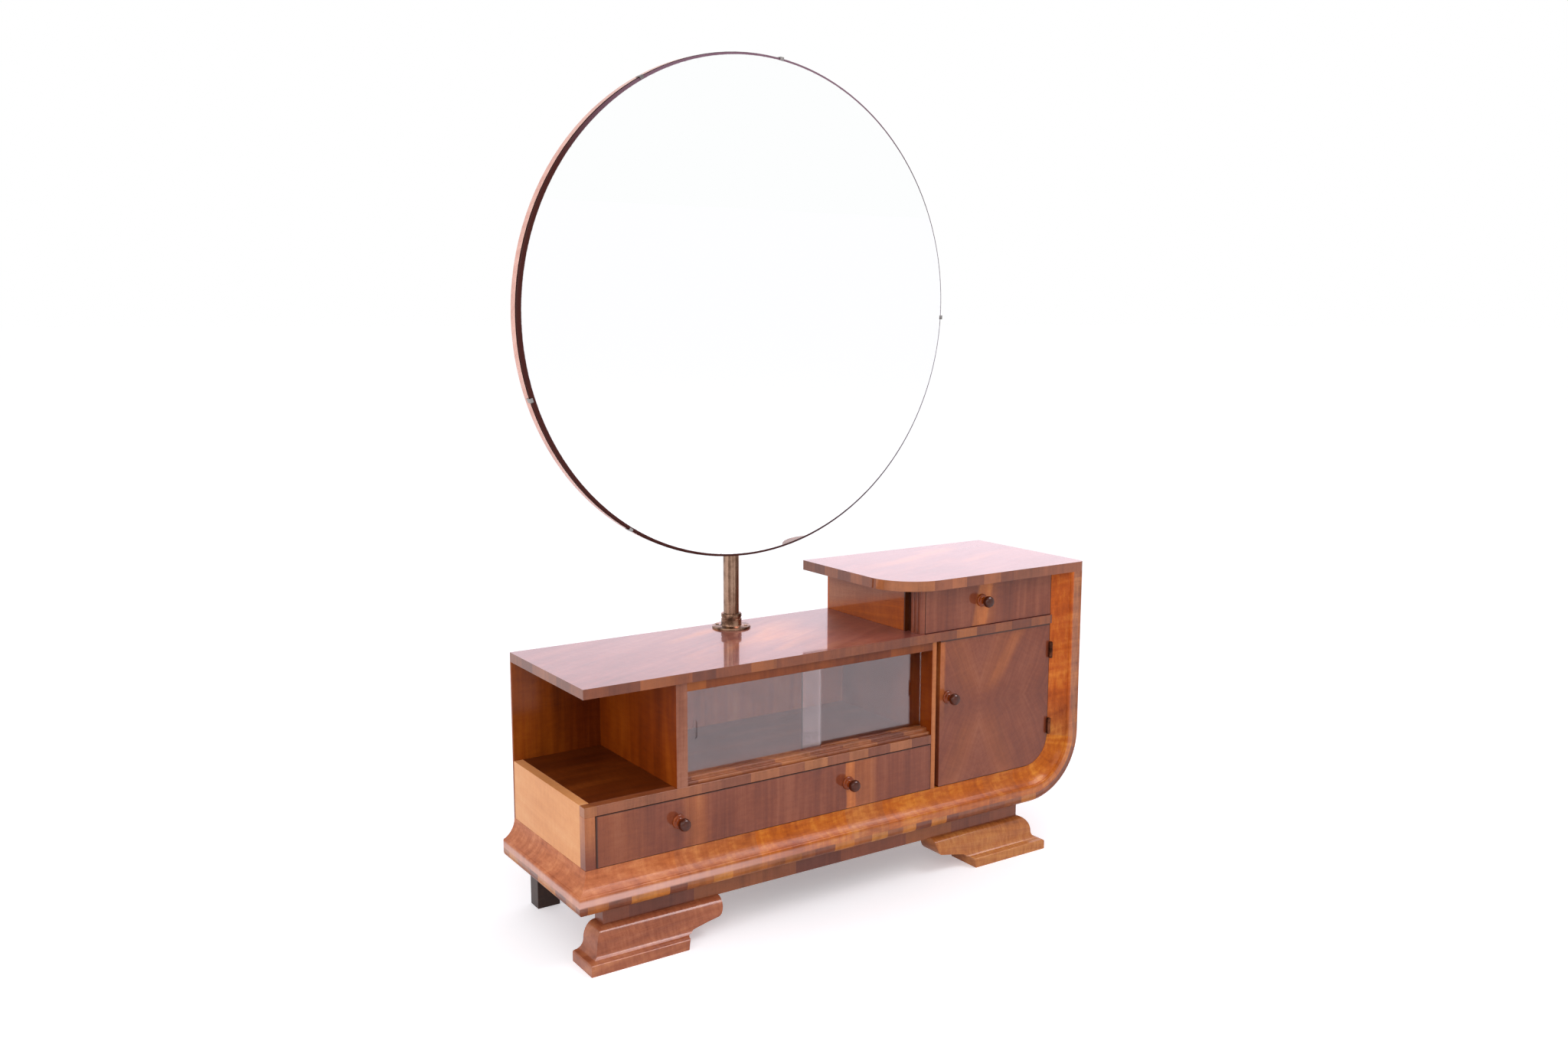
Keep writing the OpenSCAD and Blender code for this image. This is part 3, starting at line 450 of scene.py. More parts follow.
class Timber(NamedTuple):
    """What the wood of one piece is like at a point: its tone, its fibre and its pores."""

    tone: Signal
    fibre: Signal
    pores: Signal

    def colour(self, species: Species) -> Signal:
        """Dye the wood, with its pores darkened.

        Args:
            species: the wood whose colours it takes.

        Returns:
            The colour at the point.
        """
        graph = self.tone.graph
        tints = (species.dark, species.middle, species.light)
        colour = graph.ramp(self.tone, tuple(zip(TONE_STOPS, tints)))
        return graph.blend(self.pores * species.pore_depth, colour, species.dark, "MULTIPLY")

    def banded(self, travel: Signal, width: float,
               tints: Sequence[tuple[float, Tint]]) -> Signal:
        """Short blocks of veneer laid side by side, each cut from another part of the tree.

        Args:
            travel: the place along the band, in metres.
            width: the mean width of a block.
            tints: the colours that the blocks are chosen from.

        Returns:
            The colour of the band, across which this wood's grain runs.
        """
        graph = self.tone.graph
        chosen = graph.ramp(graph.block(travel * (1.0 / width)), tints)
        colour = graph.blend(1.0, chosen, graph.ramp(self.tone, BLOCK_SHADES), "MULTIPLY")
        return graph.blend(self.pores * BLOCK_PORE_SHARE, colour, BLOCK_PORES, "MULTIPLY")


def read_timber(graph: NodeGraph, species: Species, place: Place) -> Timber:
    """Work out rings, fibre and pores of a wood.

    Args:
        graph: the material's nodes.
        species: the wood.
        place: the point's place in it.

    Returns:
        The tone from 0, dark, to 1, light, the fine fibre, and the mask of the pores.
    """
    across = (place.width + place.depth * RING_SLANT
              + (place.noise(DRIFT) - 0.5) * DRIFT.share)
    rings = graph.line_noise(across * (1.0 / species.ring), RING_DETAIL) - 0.5
    cloud, streak, fleck = (place.noise(mark) - 0.5 for mark in (CLOUD, STREAK, FLECK))
    fibre = place.noise(FIBRE)
    tone = ((rings * RING_SHARE + cloud * CLOUD.share + streak * STREAK.share) * species.figure
            + fleck * species.mottle + (fibre - 0.5) * FIBRE.share + 0.5)
    return Timber(tone.clamped(), fibre, place.noise(PORE).ramp_up(*PORE_EDGE))


# A joint's shade: its colour, how much of the wood it hides, how soft its edge is.
JOINT_SHADE = Tint(46, 18, 9)
JOINT_SHARE = 0.85
JOINT_BLUR = 0.3


class Joints(NamedTuple):
    """The dark gaps round a front: where each lies and how far its shade reaches, in metres."""

    left: tuple[float, float]
    right: tuple[float, float]
    bottom: tuple[float, float]
    top: tuple[float, float]

    def shade(self, x: Signal, z: Signal) -> Signal:
        """Find the shade of the gaps.

        Args:
            x: the point's place along the front.
            z: its height.

        Returns:
            1 beside a gap, 0 away from it.
        """
        gaps = ((x - self.left[0], self.left[1]), (self.right[0] - x, self.right[1]),
                (z - self.bottom[0], self.bottom[1]), (self.top[0] - z, self.top[1]))
        shade: Signal | float = 0.0
        for away, reach in gaps:
            line = away.ramp_up(reach * (1.0 + JOINT_BLUR), reach * (1.0 - JOINT_BLUR))
            shade = line.over(shade)
        return shade


# The colours of blocks of veneer, each with its place among the chances from 0 to 1.
BLOCK_TINTS = ((0.0, Tint(130, 67, 43)), (0.28, Tint(152, 83, 50)), (0.5, Tint(174, 99, 50)),
               (0.74, Tint(198, 116, 46)), (1.0, Tint(214, 138, 62)))
EDGE_TINTS = ((0.0, Tint(124, 58, 28)), (0.4, Tint(138, 67, 30)), (0.8, Tint(152, 77, 32)),
              (1.0, Tint(178, 99, 40)))
SLAB_TINTS = ((0.0, Tint(138, 72, 44)), (0.4, Tint(158, 86, 50)), (0.8, Tint(174, 98, 56)),
              (1.0, Tint(194, 116, 62)))
RAIL_TINTS = ((0.0, Tint(136, 72, 46)), (0.4, Tint(156, 88, 56)), (0.75, Tint(172, 100, 60)),
              (1.0, Tint(194, 120, 68)))
PLINTH_TINTS = ((0.0, Tint(122, 62, 44)), (0.6, Tint(146, 78, 50)), (1.0, Tint(170, 98, 50)))
# How a block darkens with the tone of its wood, and in its pores.
BLOCK_SHADES = ((0.15, Tint(176, 166, 158)), (0.5, Tint(226, 222, 220)),
                (0.85, Tint(255, 255, 255)))
BLOCK_PORES = Tint(96, 52, 38)
BLOCK_PORE_SHARE = 0.4
# The colour of the painted highlight along the ridge of the base moulding.
PAINTED_RIDGE_HIGHLIGHT = Tint(238, 194, 186)


@dataclass(frozen=True)
class Polish:
    """The film on the wood: its gloss, how soft its reflections are, and its haze."""

    gloss: float = 0.6
    softness: float = 0.09
    body: float = 0.42
    haze: float = 0.0

    def finish(self, colour: Signal, timber: Timber,
               extra: "Signal | float" = 0.0) -> Signal:
        """Lay the film over a coloured wood.

        Args:
            colour: the colour of the wood.
            timber: its fibre and pores, which the film follows faintly.
            extra: what is added to the gloss at each point.

        Returns:
            The shader.
        """
        graph = colour.graph
        cloud = graph.cloud(9.0, 3.0, 0.6) - 0.5
        rough = (timber.fibre - 0.5) * 0.16 + cloud * 0.2 + self.body
        coat = (cloud * 0.35 + self.gloss - timber.pores * 0.2 + extra).clamped()
        normal = graph.bump(timber.fibre * 0.4 - timber.pores, PORE_DEPTH, 0.5)
        return graph.node("ShaderNodeBsdfPrincipled", inputs={
            "Base Color": colour, "Roughness": rough, "Normal": normal, "Coat Weight": coat,
            "Coat Roughness": self.softness, "Coat IOR": 1.5, "IOR": 1.45,
            "Specular IOR Level": 0.1, "Sheen Weight": self.haze, "Sheen Roughness": 0.3,
            "Sheen Tint": Tint(255, 226, 246).linear})


HIGH_POLISH = Polish(gloss=0.6, softness=0.06)
LOW_TOP_POLISH = Polish(gloss=0.86, softness=0.05, body=0.36, haze=0.03)
SLAB_POLISH = Polish(gloss=0.96, softness=0.05, body=0.36, haze=0.05)
KNOB_POLISH = Polish(gloss=0.5, softness=0.08, body=0.4)
FOOT_POLISH = Polish(gloss=0.55, softness=0.1)
EDGE_POLISH = Polish(gloss=0.74, softness=0.1)
SOFT_POLISH = Polish(gloss=0.4, softness=0.16, body=0.48)
NICHE_POLISH = Polish(gloss=0.3, softness=0.12, body=0.5)
BARE_WOOD = Polish(gloss=0.0, softness=0.3, body=0.62)

# Where a face begins and ends to count as one that looks along an axis, as a cosine.
FACE_ON = (0.4, 0.8)
# Half the width of the edge between two woods in one piece, in metres.
CUT_BLUR = 0.001


@dataclass(frozen=True)
class Finish:
    """What a surface is made of. Each kind of finish lays its own nodes."""

    name: str

    def build(self) -> bpy.types.Material:
        """Make the material."""
        graph = NodeGraph.named(self.name)
        return graph.surface(self.lay(graph))

    def lay(self, graph: NodeGraph) -> Signal:
        """Lay the nodes and hand back the shader."""
        raise NotImplementedError


@dataclass(frozen=True)
class PlainWood(Finish):
    """One wood all through a piece. It may turn into a second colour between two heights.

    A groove is a range of y over which painted shade darkens the wood.
    """

    species: Species
    grain: Grain
    polish: Polish
    below: Species | None = None
    turn: tuple[float, float] = (0.0, 1.0)
    slope: float = 0.0
    groove: tuple[float, float] | None = None

    def lay(self, graph: NodeGraph) -> Signal:
        """Lay the wood, its lower colour and the painted shade of its groove.

        Args:
            graph: the material's nodes.

        Returns:
            The shader.
        """
        timber = read_timber(graph, self.species, self.grain.place(graph))
        colour = timber.colour(self.species)
        # Below the leaning level the wood turns to the second colour; on the upper side panel that
        # is a painted reflection.
        if self.below:
            _, y, z = graph.place()
            lower = timber.colour(self.below)
            level = z + y * self.slope
            colour = graph.blend(level.ramp_up(self.turn[1], self.turn[0]), colour, lower)
        # Painted shade: the wood darkens across the groove's range of y.
        if self.groove:
            _, y, _ = graph.place()
            start, end = self.groove
            dark = (y.ramp_up(start - CUT_BLUR, start + CUT_BLUR)
                    * y.ramp_up(end + CUT_BLUR, end - CUT_BLUR))
            colour = graph.blend(dark * JOINT_SHARE, colour, JOINT_SHADE)
        return self.polish.finish(colour, timber)


class Streak(NamedTuple):
    """A lighter stripe of sapwood in a veneer, at a place along the front, in metres."""

    middle: float
    half_width: float
    soft: float
    lean: float
    strength: float


@dataclass(frozen=True)
class StripedVeneer(Finish):
    """A brown front veneer with upright fibre and stripes of lighter sapwood."""

    streaks: tuple[Streak, ...]
    foot: float
    joints: Joints

    def lay(self, graph: NodeGraph) -> Signal:
        """Lay the brown wood, its stripes and its joints.

        Args:
            graph: the material's nodes.

        Returns:
            The shader.
        """
        x, y, z = graph.place()
        timber = read_timber(graph, FRONT_WALNUT, Place(z, x, y))
        colour = timber.colour(FRONT_WALNUT)
        bright = timber.colour(SAP_WALNUT)
        wander = (graph.noise((x * 6.0, z * 12.0, 0.0)) - 0.5) * 0.012
        share: Signal | float = 0.0
        for streak in self.streaks:
            off = abs(x + (z - self.foot) * streak.lean + wander - streak.middle)
            mask = off.ramp_up(streak.half_width + streak.soft, streak.half_width - streak.soft)
            share = mask * streak.strength + share
        colour = graph.blend(share, colour, bright)
        colour = graph.blend(self.joints.shade(x, z) * JOINT_SHARE, colour, JOINT_SHADE)
        return HIGH_POLISH.finish(colour, timber)


@dataclass(frozen=True)
class FanVeneer(Finish):
    """The door's figure: two sheets that mirror each other, their fibre leaning outwards."""

    seam: float
    heart: float
    left_edge: float
    joints: Joints
    lean: float = 27.0
    gleam_foot: tuple[float, float] = (1.018, 0.40)
    gleam_lean: float = 0.68

    def lay(self, graph: NodeGraph) -> Signal:
        """Lay the two sheets, their light figure and the joints.

        Args:
            graph: the material's nodes.

        Returns:
            The shader.
        """
        x, y, z = graph.place()
        side = abs(x - self.seam)
        rise = abs(z - self.heart)
        bend = (graph.noise((side * 5.0, rise * 5.0, 0.0)) - 0.5) * 0.05
        turn = math.radians(self.lean)
        length = rise * math.cos(turn) + side * math.sin(turn)
        width = side * math.cos(turn) - rise * math.sin(turn) + bend
        timber = read_timber(graph, FRONT_WALNUT, Place(length, width, y))
        colour = timber.colour(FRONT_WALNUT)
        bright = timber.colour(SAP_WALNUT)
        rays = abs(width).ramp_up(0.048, 0.0) * rise.ramp_up(0.0, 0.07) * 0.2
        strip = abs(x - self.left_edge).ramp_up(0.017, 0.009) * z.ramp_up(0.30, 0.48) * 0.7
        foot_x, foot_z = self.gleam_foot
        gleam = (abs(x - (z - foot_z) * self.gleam_lean - foot_x).ramp_up(0.030, 0.006)
                 * z.ramp_up(foot_z - 0.015, foot_z + 0.04) * 0.34)
        colour = graph.blend(rays + strip + gleam, colour, bright)
        shade = rise.ramp_up(0.05, 0.0) * side.ramp_up(0.02, 0.08) * 0.2
        colour = graph.blend(shade, colour, FRONT_WALNUT.dark)
        colour = graph.blend(self.joints.shade(x, z) * JOINT_SHARE, colour, JOINT_SHADE)
        return HIGH_POLISH.finish(colour, timber)


@dataclass(frozen=True)
class BackBoard(Finish):
    """The boards behind the bays.

    The niche's darkens towards its inner corner with painted shade, the glass bay's is pale, and
    their backs are bare.
    """

    corner: tuple[float, float] = (0.06, 0.16)
    bay: float = 0.2125

    def lay(self, graph: NodeGraph) -> Signal:
        """Lay the niche's back, the glass bay's and the bare rear.

        Args:
            graph: the material's nodes.

        Returns:
            The shader.
        """
        x, _, _ = graph.place()
        timber = read_timber(graph, NICHE_WALNUT, Grain(Axis.Z).place(graph))
        light = timber.colour(NICHE_BACK_WALNUT)
        shaded = timber.colour(SHADED_WALNUT)
        bay = timber.colour(BAY_WALNUT)
        # Painted shade: the niche's back darkens towards its inner corner.
        colour = graph.blend(x.ramp_up(*self.corner), light, shaded)
        colour = graph.blend(x.ramp_up(self.bay - CUT_BLUR, self.bay + CUT_BLUR), colour, bay)
        _, across, _ = graph.facing()
        bare = timber.colour(BEECH)
        colour = graph.blend(across.ramp_up(*FACE_ON), colour, bare)
        return NICHE_POLISH.finish(colour, timber)


class Run(Enum):
    """Which way a length of the base moulding runs."""

    FRONT = "front"
    SIDE = "side"


@dataclass(frozen=True)
class CrossBanded(Finish):
    """The curved moulding: a figured cove, and blocks of veneer on its flat outer edge.

    The edge, the nose and the ridge are distances in from the outside, each with the reach of
    its mask. Rosy, flame and upright are stretches of the run, over which a look comes or goes,
    and so is the stretch over which the painted highlight on the ridge fades. The bend is what a
    metre of the corner's outer arc counts in the travel.
    """

    run: Run
    centre: tuple[float, float]
    radius: float
    rosy: tuple[float, float]
    ridge_highlight: float
    block: float = 0.044
    cove_block: float = 0.1
    edge: float = 0.0205
    wider: float = 0.012
    flame: tuple[float, float] = (1.28, 1.42)
    upright: tuple[float, float] = (1.26, 1.42)
    highlight_run: tuple[float, float] = (0.7, 0.12)
    bend: float = 0.7
    edge_blur: float = 0.0015
    nose: float = 0.0235
    nose_reach: tuple[float, float] = (0.014, 0.007)
    ridge: float = 0.0265
    ridge_reach: tuple[float, float] = (0.0090, 0.0035)
    gloss: tuple[float, float] = (-0.56, 0.85)

    def _unroll(self, graph: NodeGraph) -> Place:
        """Lay the bent moulding out straight.

        Args:
            graph: the material's nodes.

        Returns:
            The distance in from the outer edge, the travel along the run, and the depth.
        """
        x, y, z = graph.place()
        if self.run is Run.SIDE:
            return Place(z - (self.centre[1] - self.radius), y, x)
        reach_x = (x - self.centre[0]).over(0.0)
        reach_z = (self.centre[1] - z).over(0.0)
        radial = (reach_x * reach_x + reach_z * reach_z).root()
        travel = (x.under(self.centre[0]) + reach_x.angle(reach_z) * (self.bend * self.radius)
                  + (z - self.centre[1]).over(0.0))
        return Place(self.radius - radial, travel, y)

    def lay(self, graph: NodeGraph) -> Signal:
        """Lay the cove, the blocks and the painted highlight on the ridge.

        Args:
            graph: the material's nodes.

        Returns:
            The shader.
        """
        place = self._unroll(graph)
        inward, travel, _ = place
        timber = read_timber(graph, ORANGE_WALNUT, place)
        cove = timber.colour(ORANGE_WALNUT)
        brown = timber.colour(EDGE_WALNUT)
        flame = timber.colour(FLAME_WALNUT)
        cut = graph.block(travel * (1.0 / self.cove_block))
        cove = graph.blend(cut.ramp_up(0.45, 0.9) * 0.5, cove, brown)
        cove = graph.blend(travel.ramp_up(*self.flame) * 0.85, cove, flame)
        rosy = timber.colour(ROSY_WALNUT)
        cove = graph.blend(travel.ramp_up(*self.rosy) * 0.75, cove, rosy)
        band = timber.banded(travel, self.block, BLOCK_TINTS)
        upright = travel.ramp_up(*self.upright)
        band = graph.blend(upright * 0.7, band, brown)
        reach = upright * self.wider + self.edge - inward
        colour = graph.blend(reach.ramp_up(-self.edge_blur, self.edge_blur), cove, band)
        nose = abs(inward - self.nose).ramp_up(*self.nose_reach)
        # Painted highlight: a pale band along the ridge, strongest near the left end, in place of a
        # lamp's reflection.
        ridge = abs(inward - self.ridge).ramp_up(*self.ridge_reach)
        wear_highlight_and_ring = ridge * travel.ramp_up(*self.highlight_run) * self.ridge_highlight
        colour = graph.blend(wear_highlight_and_ring, colour, PAINTED_RIDGE_HIGHLIGHT)
        dull, shine = self.gloss
        return EDGE_POLISH.finish(colour, timber, nose * shine + dull)


@dataclass(frozen=True)
class BandedRail(Finish):
    """A rail or an edge of short blocks, all of its faces alike."""

    block: float
    tints: Sequence[tuple[float, Tint]]
    polish: Polish
    offset: float = 0.0

    def lay(self, graph: NodeGraph) -> Signal:
        """Lay the blocks.

        Args:
            graph: the material's nodes.

        Returns:
            The shader.
        """
        x, y, z = graph.place()
        timber = read_timber(graph, EDGE_WALNUT, Place(z, x + y, y))
        colour = timber.banded(x + y + self.offset, self.block, self.tints)
        return self.polish.finish(colour, timber)


@dataclass(frozen=True)
class PolishedTop(Finish):
    """A veneered top: long fibre on its face, cross-cut blocks on its edge."""

    lean: float
    offset: float
    block: float
    glow: tuple[float, float]
    edge: Sequence[tuple[float, Tint]]
    polish: Polish

    def lay(self, graph: NodeGraph) -> Signal:
        """Lay the face with its light flames, and the edge.

        Args:
            graph: the material's nodes.

        Returns:
            The shader.
        """
        x, y, z = graph.place()
        turn = math.radians(self.lean)
        length = x * math.cos(turn) + y * math.sin(turn) + self.offset
        width = y * math.cos(turn) - x * math.sin(turn)
        flat = read_timber(graph, TOP_WALNUT, Place(length, width, z))
        face = flat.colour(TOP_WALNUT)
        warm = flat.colour(SAP_WALNUT)
        patch = graph.noise((length * 2.2, width * 9.0, 0.0))
        share = patch.ramp_up(0.5, 0.68) * abs(x - self.glow[0]).ramp_up(self.glow[1], 0.0)
        face = graph.blend(share, face, warm)
        across = read_timber(graph, EDGE_WALNUT, Place(z, x + y, y))
        edge = across.banded(x + y, self.block, self.edge)
        _, _, up = graph.facing()
        colour = graph.blend(abs(up).ramp_up(0.3, 0.7), edge, face)
        return self.polish.finish(colour, flat)


@dataclass(frozen=True)
class EdgedBoard(Finish):
    """A board whose faces to the front and the back are of another wood than the rest."""

    side: Species
    front: Species
    grain: Grain
    polish: Polish

    def lay(self, graph: NodeGraph) -> Signal:
        """Lay both woods.

        Args:
            graph: the material's nodes.

        Returns:
            The shader.
        """
        timber = read_timber(graph, self.side, self.grain.place(graph))
        _, across, _ = graph.facing()
        colour = graph.blend(abs(across).ramp_up(*FACE_ON), timber.colour(self.side),
                             timber.colour(self.front))
        return self.polish.finish(colour, timber)


@dataclass(frozen=True)
class TurnedWood(Finish):
    """A knob with an orange walnut neck and a dark head."""

    head_start: float
    blur: float = 0.002

    def lay(self, graph: NodeGraph) -> Signal:
        """Lay the neck and the head.

        Args:
            graph: the material's nodes.

        Returns:
            The shader.
        """
        _, y, _ = graph.place()
        timber = read_timber(graph, FLAME_WALNUT, Grain(Axis.Z).place(graph))
        neck = timber.colour(NICHE_WALNUT)
        head = timber.colour(KNOB_STAIN)
        share = y.ramp_up(self.head_start + self.blur, self.head_start - self.blur)
        return KNOB_POLISH.finish(graph.blend(share, neck, head), timber)


# How many marks a metal has in a metre, across the piece and along its height.
BRUSHED_SCALE = (240.0, 2.5)
DULL_SCALE = (260.0, 260.0)
SCRATCH_DEPTH = 0.00006


@dataclass(frozen=True)
class AgedMetal(Finish):
    """A metal with a thin skin of age: bright where hands rub it, dull in between."""

    bright: Tint
    dull: Tint
    shine: float
    brushed: bool = False

    def lay(self, graph: NodeGraph) -> Signal:
        """Lay the metal and its skin of age.

        Args:
            graph: the material's nodes.

        Returns:
            The shader.
        """
        x, y, z = graph.place()
        cloud = graph.cloud(45.0, 4.0, 0.65)
        speck = graph.cloud(420.0)
        round_scale, long_scale = BRUSHED_SCALE if self.brushed else DULL_SCALE
        line = graph.noise((x * round_scale, y * round_scale, z * long_scale), 3.0, 0.6)
        wear_highlight_and_ring = cloud * 0.35 + line * 0.65 if self.brushed else cloud
        colour = graph.blend(wear_highlight_and_ring.ramp_up(0.4, 0.62), self.bright, self.dull)
        rough = (cloud - 0.5) * 0.3 + (line - 0.5) * 0.2 + self.shine
        return graph.node("ShaderNodeBsdfPrincipled", inputs={
            "Base Color": colour, "Metallic": 1.0, "Roughness": rough.clamped(),
            "Normal": graph.bump(line * 0.7 + speck * 0.3, SCRATCH_DEPTH, 0.4)})


# The mirror's colours: its silver, the dark ring round it on three sides, and its glass edge.
SILVER = Tint(253, 254, 254)
TIRED_SILVER = Tint(190, 186, 182)
DARK_RING_LEFT = Tint(72, 34, 30)
DARK_RING_RIGHT = Tint(92, 80, 88)
DARK_RING_TOP = Tint(134, 104, 120)
GLASS_EDGE = Tint(58, 22, 18)


@dataclass(frozen=True)
class SilveredGlass(Finish):
    """The mirror: silver, tired towards its rim, with a dark ring round its edge.

    The ring's width is bare, more at the left and less at the right.
    """

    centre: tuple[float, float]
    radius: float
    tilt: float
    bare: float = 0.0050
    ring_left: float = 0.0048
    ring_right: float = -0.0020
    ring_blur: float = 0.0006
    tired_reach: float = 0.022
    wander: float = 0.0012
    spot_scale: float = 160.0
    smear_scale: float = 14.0

    def lay(self, graph: NodeGraph) -> Signal:
        """Lay the silver, the dark ring and the edge.

        Args:
            graph: the material's nodes.

        Returns:
            The shader.
        """
        x, y, z = graph.place()
        off_x = x - self.centre[0]
        off_z = (z - self.centre[1]) * (1.0 / math.cos(math.radians(self.tilt)))
        radial = (off_x * off_x + off_z * off_z).root()
        left = (off_x * (-1.0 / self.radius)).over(0.0)
        right = (off_x * (1.0 / self.radius)).over(0.0)
        spots = graph.noise((x * self.spot_scale, y, z * self.spot_scale), 4.0, 0.7)
        wander = (spots - 0.5) * self.wander
        bare = (left * left * self.ring_left + right * right * self.ring_right + wander
                + self.bare)
        ring = (bare + radial - self.radius).ramp_up(-self.ring_blur, self.ring_blur)
        tired = (radial.ramp_up(self.radius - self.tired_reach, self.radius)
                 * spots.ramp_up(0.55, 0.75) * 0.3)
        _, across, _ = graph.facing()
        side = abs(across).ramp_up(0.8, 0.45)
        silver = graph.blend(tired, SILVER, TIRED_SILVER)
        wear_highlight_and_ring = graph.blend(right.ramp_up(0.0, 0.9), DARK_RING_LEFT, DARK_RING_RIGHT)
        high = (off_z * (1.0 / self.radius)).ramp_up(0.5, 0.95)
        wear_highlight_and_ring = graph.blend(high * 0.8, wear_highlight_and_ring, DARK_RING_TOP)
        colour = graph.blend(side, graph.blend(ring, silver, wear_highlight_and_ring), GLASS_EDGE)
        smear = graph.noise((x * self.smear_scale, y, z * self.smear_scale), 3.0)
        rough = ((smear - 0.5).over(0.0) * 0.02 + tired * 0.2 + ring * 0.2 + side * 0.25
                 + 0.006)
        return graph.node("ShaderNodeBsdfPrincipled", inputs={
            "Base Color": colour, "Metallic": (1.0 - side) * (1.0 - ring), "Roughness": rough,
            "Specular IOR Level": 0.08})


# How much of each lamp colour comes through a pane, in linear values.
PANE_SHADOW = (0.9, 0.88, 0.88, 1.0)


@dataclass(frozen=True)
class PlateGlass(Finish):
    """A sliding pane: thick clear glass with faint wiping marks. Lamps shine through it."""

    def lay(self, graph: NodeGraph) -> Signal:
        """Lay the glass, which is clear for the lamps.

        Args:
            graph: the material's nodes.

        Returns:
            The shader.
        """
        x, y, z = graph.place()
        wipe = graph.noise((x * 10.0 + z * 6.0, y, z * 16.0), 4.0, 0.6)
        colour = graph.blend(wipe.ramp_up(0.4, 0.7), Tint(244, 240, 241), Tint(234, 231, 233))
        rough = (wipe - 0.45).over(0.0) * 0.03 + 0.004
        glass = graph.node("ShaderNodeBsdfPrincipled", inputs={
            "Base Color": colour, "Roughness": rough, "Transmission Weight": 1.0, "IOR": 1.8,
            "Specular Tint": Tint(255, 238, 240).linear})
        clear = graph.node("ShaderNodeBsdfTransparent", inputs={0: PANE_SHADOW})
        lamp_ray = graph.node("ShaderNodeLightPath", output="Is Shadow Ray")
        return graph.node("ShaderNodeMixShader", inputs={0: lamp_ray, 1: glass, 2: clear})


def dress(finish: Finish, *names: str) -> None:
    """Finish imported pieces.

    Args:
        finish: what every slot of theirs is made of.
        names: the pieces.
    """
    material = finish.build()
    for name in names:
        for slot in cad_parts[name].material_slots:
            slot.material = material
        log.info("%s is finished in %s", name, finish.name)


def ease_edges(width: float, *names: str, rounds: int = 2) -> None:
    """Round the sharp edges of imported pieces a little, as sandpaper does.

    Args:
        width: how much of each face the rounding takes, in metres.
        names: the pieces.
        rounds: how many faces the rounding has.
    """
    for name in names:
        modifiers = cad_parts[name].modifiers
        modifiers.new("join_faces", "WELD").merge_threshold = WELD
        bevel = modifiers.new("ease_edges", "BEVEL")
        bevel.width = width
        bevel.segments = rounds
        bevel.limit_method = "ANGLE"
        bevel.angle_limit = math.radians(EASED_ANGLE)
        bevel.miter_outer = "MITER_ARC"
        modifiers.new("flat_faces", "WEIGHTED_NORMAL").keep_sharp = False


# How a corner of a profile is cut: the shares of its two ends in each new point.
NEAR, FAR = 0.75, 0.25
# A radius below this, in metres, is a tip.
TIP = 1e-6


class Profile(NamedTuple):
    """The outline of a turned piece: the radius at each height, from its foot to its tip."""

    points: tuple[tuple[float, float], ...]
    rounds: int = 0

    def eased(self) -> list[tuple[float, float]]:
        """Cut the outline's corners off, as often as the profile asks.

        Returns:
            The points of the outline.
        """
        points = list(self.points)
        for _ in range(self.rounds):
            cut = [points[0]]
            for (r0, h0), (r1, h1) in zip(points, points[1:]):
                cut += [(a * r0 + b * r1, a * h0 + b * h1) for a, b in ((NEAR, FAR), (FAR, NEAR))]
            points = cut + [points[-1]]
        return points


class Turning:
    """Rings of points turned about an axis, gathered into one mesh."""

    def __init__(self, steps: int = 96) -> None:
        """Start an empty mesh whose rings have that many points."""
        self.steps = steps
        self.mesh = bmesh.new()

    def add(self, profile: Profile, seat: Matrix, closed: bool = False) -> None:
        """Turn one profile.

        Args:
            profile: the outline, in metres.
            seat: where its foot stands and which way its own Z points.
            closed: True for a ring, whose last height joins its first.
        """
        rings = []
        for radius, height in profile.eased():
            if radius < TIP:
                rings.append([self.mesh.verts.new(seat @ Vector((0.0, 0.0, height)))])
                continue
            turns = (2.0 * math.pi * step / self.steps for step in range(self.steps))
            rings.append([self.mesh.verts.new(seat @ Vector(
                (radius * math.cos(turn), radius * math.sin(turn), height)))
                for turn in turns])
        pairs = list(zip(rings, rings[1:]))
        if closed:
            pairs.append((rings[-1], rings[0]))
        for lower, upper in pairs:
            self._join(lower, upper)

    def _join(self, lower: list[bmesh.types.BMVert], upper: list[bmesh.types.BMVert]) -> None:
        """Span two rings with faces.

        Args:
            lower: the points of one ring, or a single point.
            upper: those of the next.
        """
        for step in range(self.steps):
            after = (step + 1) % self.steps
            corners = [lower[step % len(lower)], lower[after % len(lower)],
                       upper[after % len(upper)], upper[step % len(upper)]]
            self.mesh.faces.new(list(dict.fromkeys(corners)))


def set_up(name: str, mesh: bmesh.types.BMesh, material: bpy.types.Material, body: str,
           node: str) -> None:
    """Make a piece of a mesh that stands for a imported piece.

    Args:
        name: the piece's name.
        mesh: its shape at rest, in metres.
        material: what it is made of.
        body: the body that it moves with.
        node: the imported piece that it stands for.
    """
    bmesh.ops.recalc_face_normals(mesh, faces=mesh.faces)
    data = bpy.data.meshes.new(name)
    mesh.to_mesh(data)
    mesh.free()
    data.shade_smooth()
    data.set_sharp_from_angle(angle=math.radians(SHARP_ANGLE))
    data.materials.append(material)
    piece = bpy.data.objects.new(name, data)
    bpy.context.scene.collection.objects.link(piece)
    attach(piece, body)
    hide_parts(node)
    log.info("%s is built for %s on %s", name, node, body)


